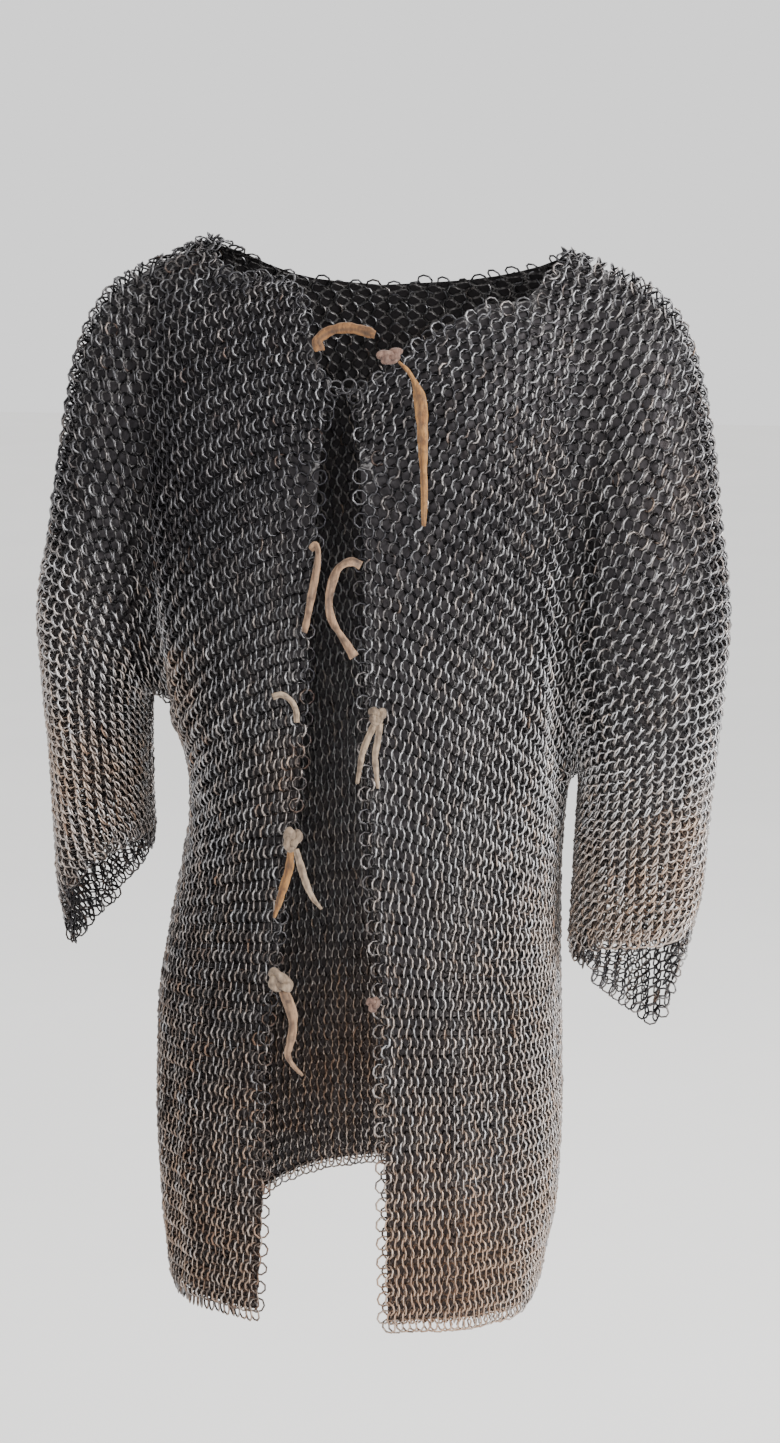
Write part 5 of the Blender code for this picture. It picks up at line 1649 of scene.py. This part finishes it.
def drawn_in(sheet, points):
    """The points with those on open edges drawn in, so that the edge's links stand clear."""
    grid = points.reshape(sheet.points.shape).copy()
    body, neck = slice(0, sheet.seam + 1), slice(0, sheet.corner)
    grid[0, body] = between(grid[0, body], grid[1, body], WEB_END_DRAWN_IN)
    grid[-1, neck] = between(grid[-1, neck], grid[-2, neck], WEB_END_DRAWN_IN)
    if sheet.face == FRONT:
        grid[:, 0] = between(grid[:, 0], grid[:, 1], WEB_EDGE_DRAWN_IN)
    return grid.reshape(-1, 3)


def thinned(part, total):
    """Every few numbers of a slice, with its ends."""
    numbers = np.arange(total)[part]
    return np.unique(np.append(numbers[::WEB_THINNING], numbers[-1]))


def make_mail(iron, web_iron):
    chance = np.random.default_rng(7)
    sheets = {(side, face): Sheet(side, face) for side in (RIGHT, LEFT) for face in (FRONT, BACK)}
    pattern = Pattern(sheets)
    across, along = pattern.solve("across"), pattern.solve("along")
    points, normals, turns, homes = [], [], [], []
    for (side, face), sheet in sheets.items():
        rings = rings_on(sheet, along[side, face], across[side, face])
        places, ways_up = laid_rings(rings, side, sheet.seam, chance)
        points.append(places)
        normals.append(rings.normals)
        turns.append(ways_up)
        name = SIDE_NAMES[side]
        body = name + "_front" if face == FRONT else "back_" + name
        homes.append(np.where(rings.columns > sheet.seam, name + "_sleeve", body))
    points, normals, turns, homes = (np.concatenate(x) for x in (points, normals, turns, homes))
    kept = drop_doubles(points)
    points, normals, turns, homes = points[kept], normals[kept], turns[kept], homes[kept]
    points = points + chance.normal(0.0, PLACE_SPREAD, points.shape)
    rust, tone_and_painted_light = wear_and_painted_light(points, RUST, chance), wear_and_painted_light(points, TONE_AND_PAINTED_LIGHT, chance)
    sizes = chance.normal(1.0, SIZE_SPREAD, len(points))
    tree = ring_tree()
    for number, home in enumerate(sorted(set(homes))):
        own = homes == home
        piece = links_piece(
            home + "_links", tree, points[own], normals[own], turns[own], rust[own], tone_and_painted_light[own],
            sizes[own], iron, number, home.startswith("back"),
        )
        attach(piece, "root")
    make_webs(sheets, along, across, web_iron, chance)
    joining_links(iron, chance)


def make_webs(sheets, along, across, material, chance):
    for cut in CUTS:
        patches = []
        for side, face in cut.faces:
            sheet = sheets[side, face]
            if cut.is_sleeve:
                rows, columns = slice(sheet.armpit, None), slice(sheet.seam, None)
                lowest = WEB_SLEEVE_END[side]
            else:
                rows, columns = slice(None), slice(0, sheet.seam + 1)
                lowest = HEM_SIDE_Z - 0.01
            patches.append(Patch((side, face), rows, columns, lowest))
        web = web_piece(cut.node + "_web", patches, along, across, sheets, material, chance)
        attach(web, "root")
        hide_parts(cut.node)


# ---- floor and light ----
def make_floor():
    mesh = bmesh.new()
    bmesh.ops.create_grid(mesh, x_segments=8, y_segments=8, size=14.0)
    bmesh.ops.translate(mesh, verts=mesh.verts[:], vec=(0.0, 0.0, FLOOR_Z))
    thing = finished("floor", mesh)
    material, tree = new_material("painted_plaster_floor")  # matt and pale, with a faint unevenness
    places = add(tree, "ShaderNodeTexCoord").outputs["Object"]
    drifts = add(tree, "ShaderNodeTexNoise", None,
                 {"Vector": places, "Scale": 1000 / 400, "Detail": 3.0, "Roughness": 0.6}).outputs["Fac"]
    base = add(tree, "ShaderNodeMix", {"data_type": "RGBA"},
               {0: drifts, 6: colour("#f4f3f1"), 7: colour("#fcfbf9")}).outputs[2]
    shader = add(tree, "ShaderNodeBsdfPrincipled", None, {"Base Color": base, "Roughness": 0.9}).outputs[0]
    add(tree, "ShaderNodeOutputMaterial", None, {"Surface": shader})
    thing.data.materials.append(material)


def make_light(name, place, aim, size, watts):
    """A white square panel that faces its aim."""
    data = bpy.data.lights.new(name, "AREA")
    data.shape, data.size, data.size_y = "RECTANGLE", size, size
    data.energy, data.color = watts, WHITE
    light = bpy.data.objects.new(name, data)
    light.location = place
    light.rotation_euler = (Vector(place) - Vector(aim)).to_track_quat("Z", "Y").to_euler()
    bpy.context.scene.collection.objects.link(light)


def make_lights():
    world = bpy.data.worlds.new("studio")
    world.use_nodes = True
    world.node_tree.nodes["Background"].inputs["Color"].default_value = (*WHITE, 1.0)
    world.node_tree.nodes["Background"].inputs["Strength"].default_value = ROOM_LIGHT
    bpy.context.scene.world = world
    for name, place, size, watts in LIGHTS:
        make_light(name, place, (0.0, 0.0, -0.35), size, watts)


make_camera()
LEATHERS = {
    AMBER: tie_leather("amber_thong_leather", "#271606", "#4f3012", "#7a5226"),
    GOLDEN: tie_leather("golden_thong_leather", "#2e1c0e", "#613d1b", "#916732"),
    TAN: tie_leather("tan_thong_leather", "#33241a", "#654a37", "#8e7054"),
    CREAM: tie_leather("cream_thong_leather", "#3a2d23", "#6d5a48", "#98846e"),
    PINK: tie_leather("pink_brown_thong_leather", "#38251f", "#60453a", "#846656"),
}
make_ties(LEATHERS)
make_mail(iron_links_worn_and_painted_light(), shaded_links_web())
make_floor()
make_lights()
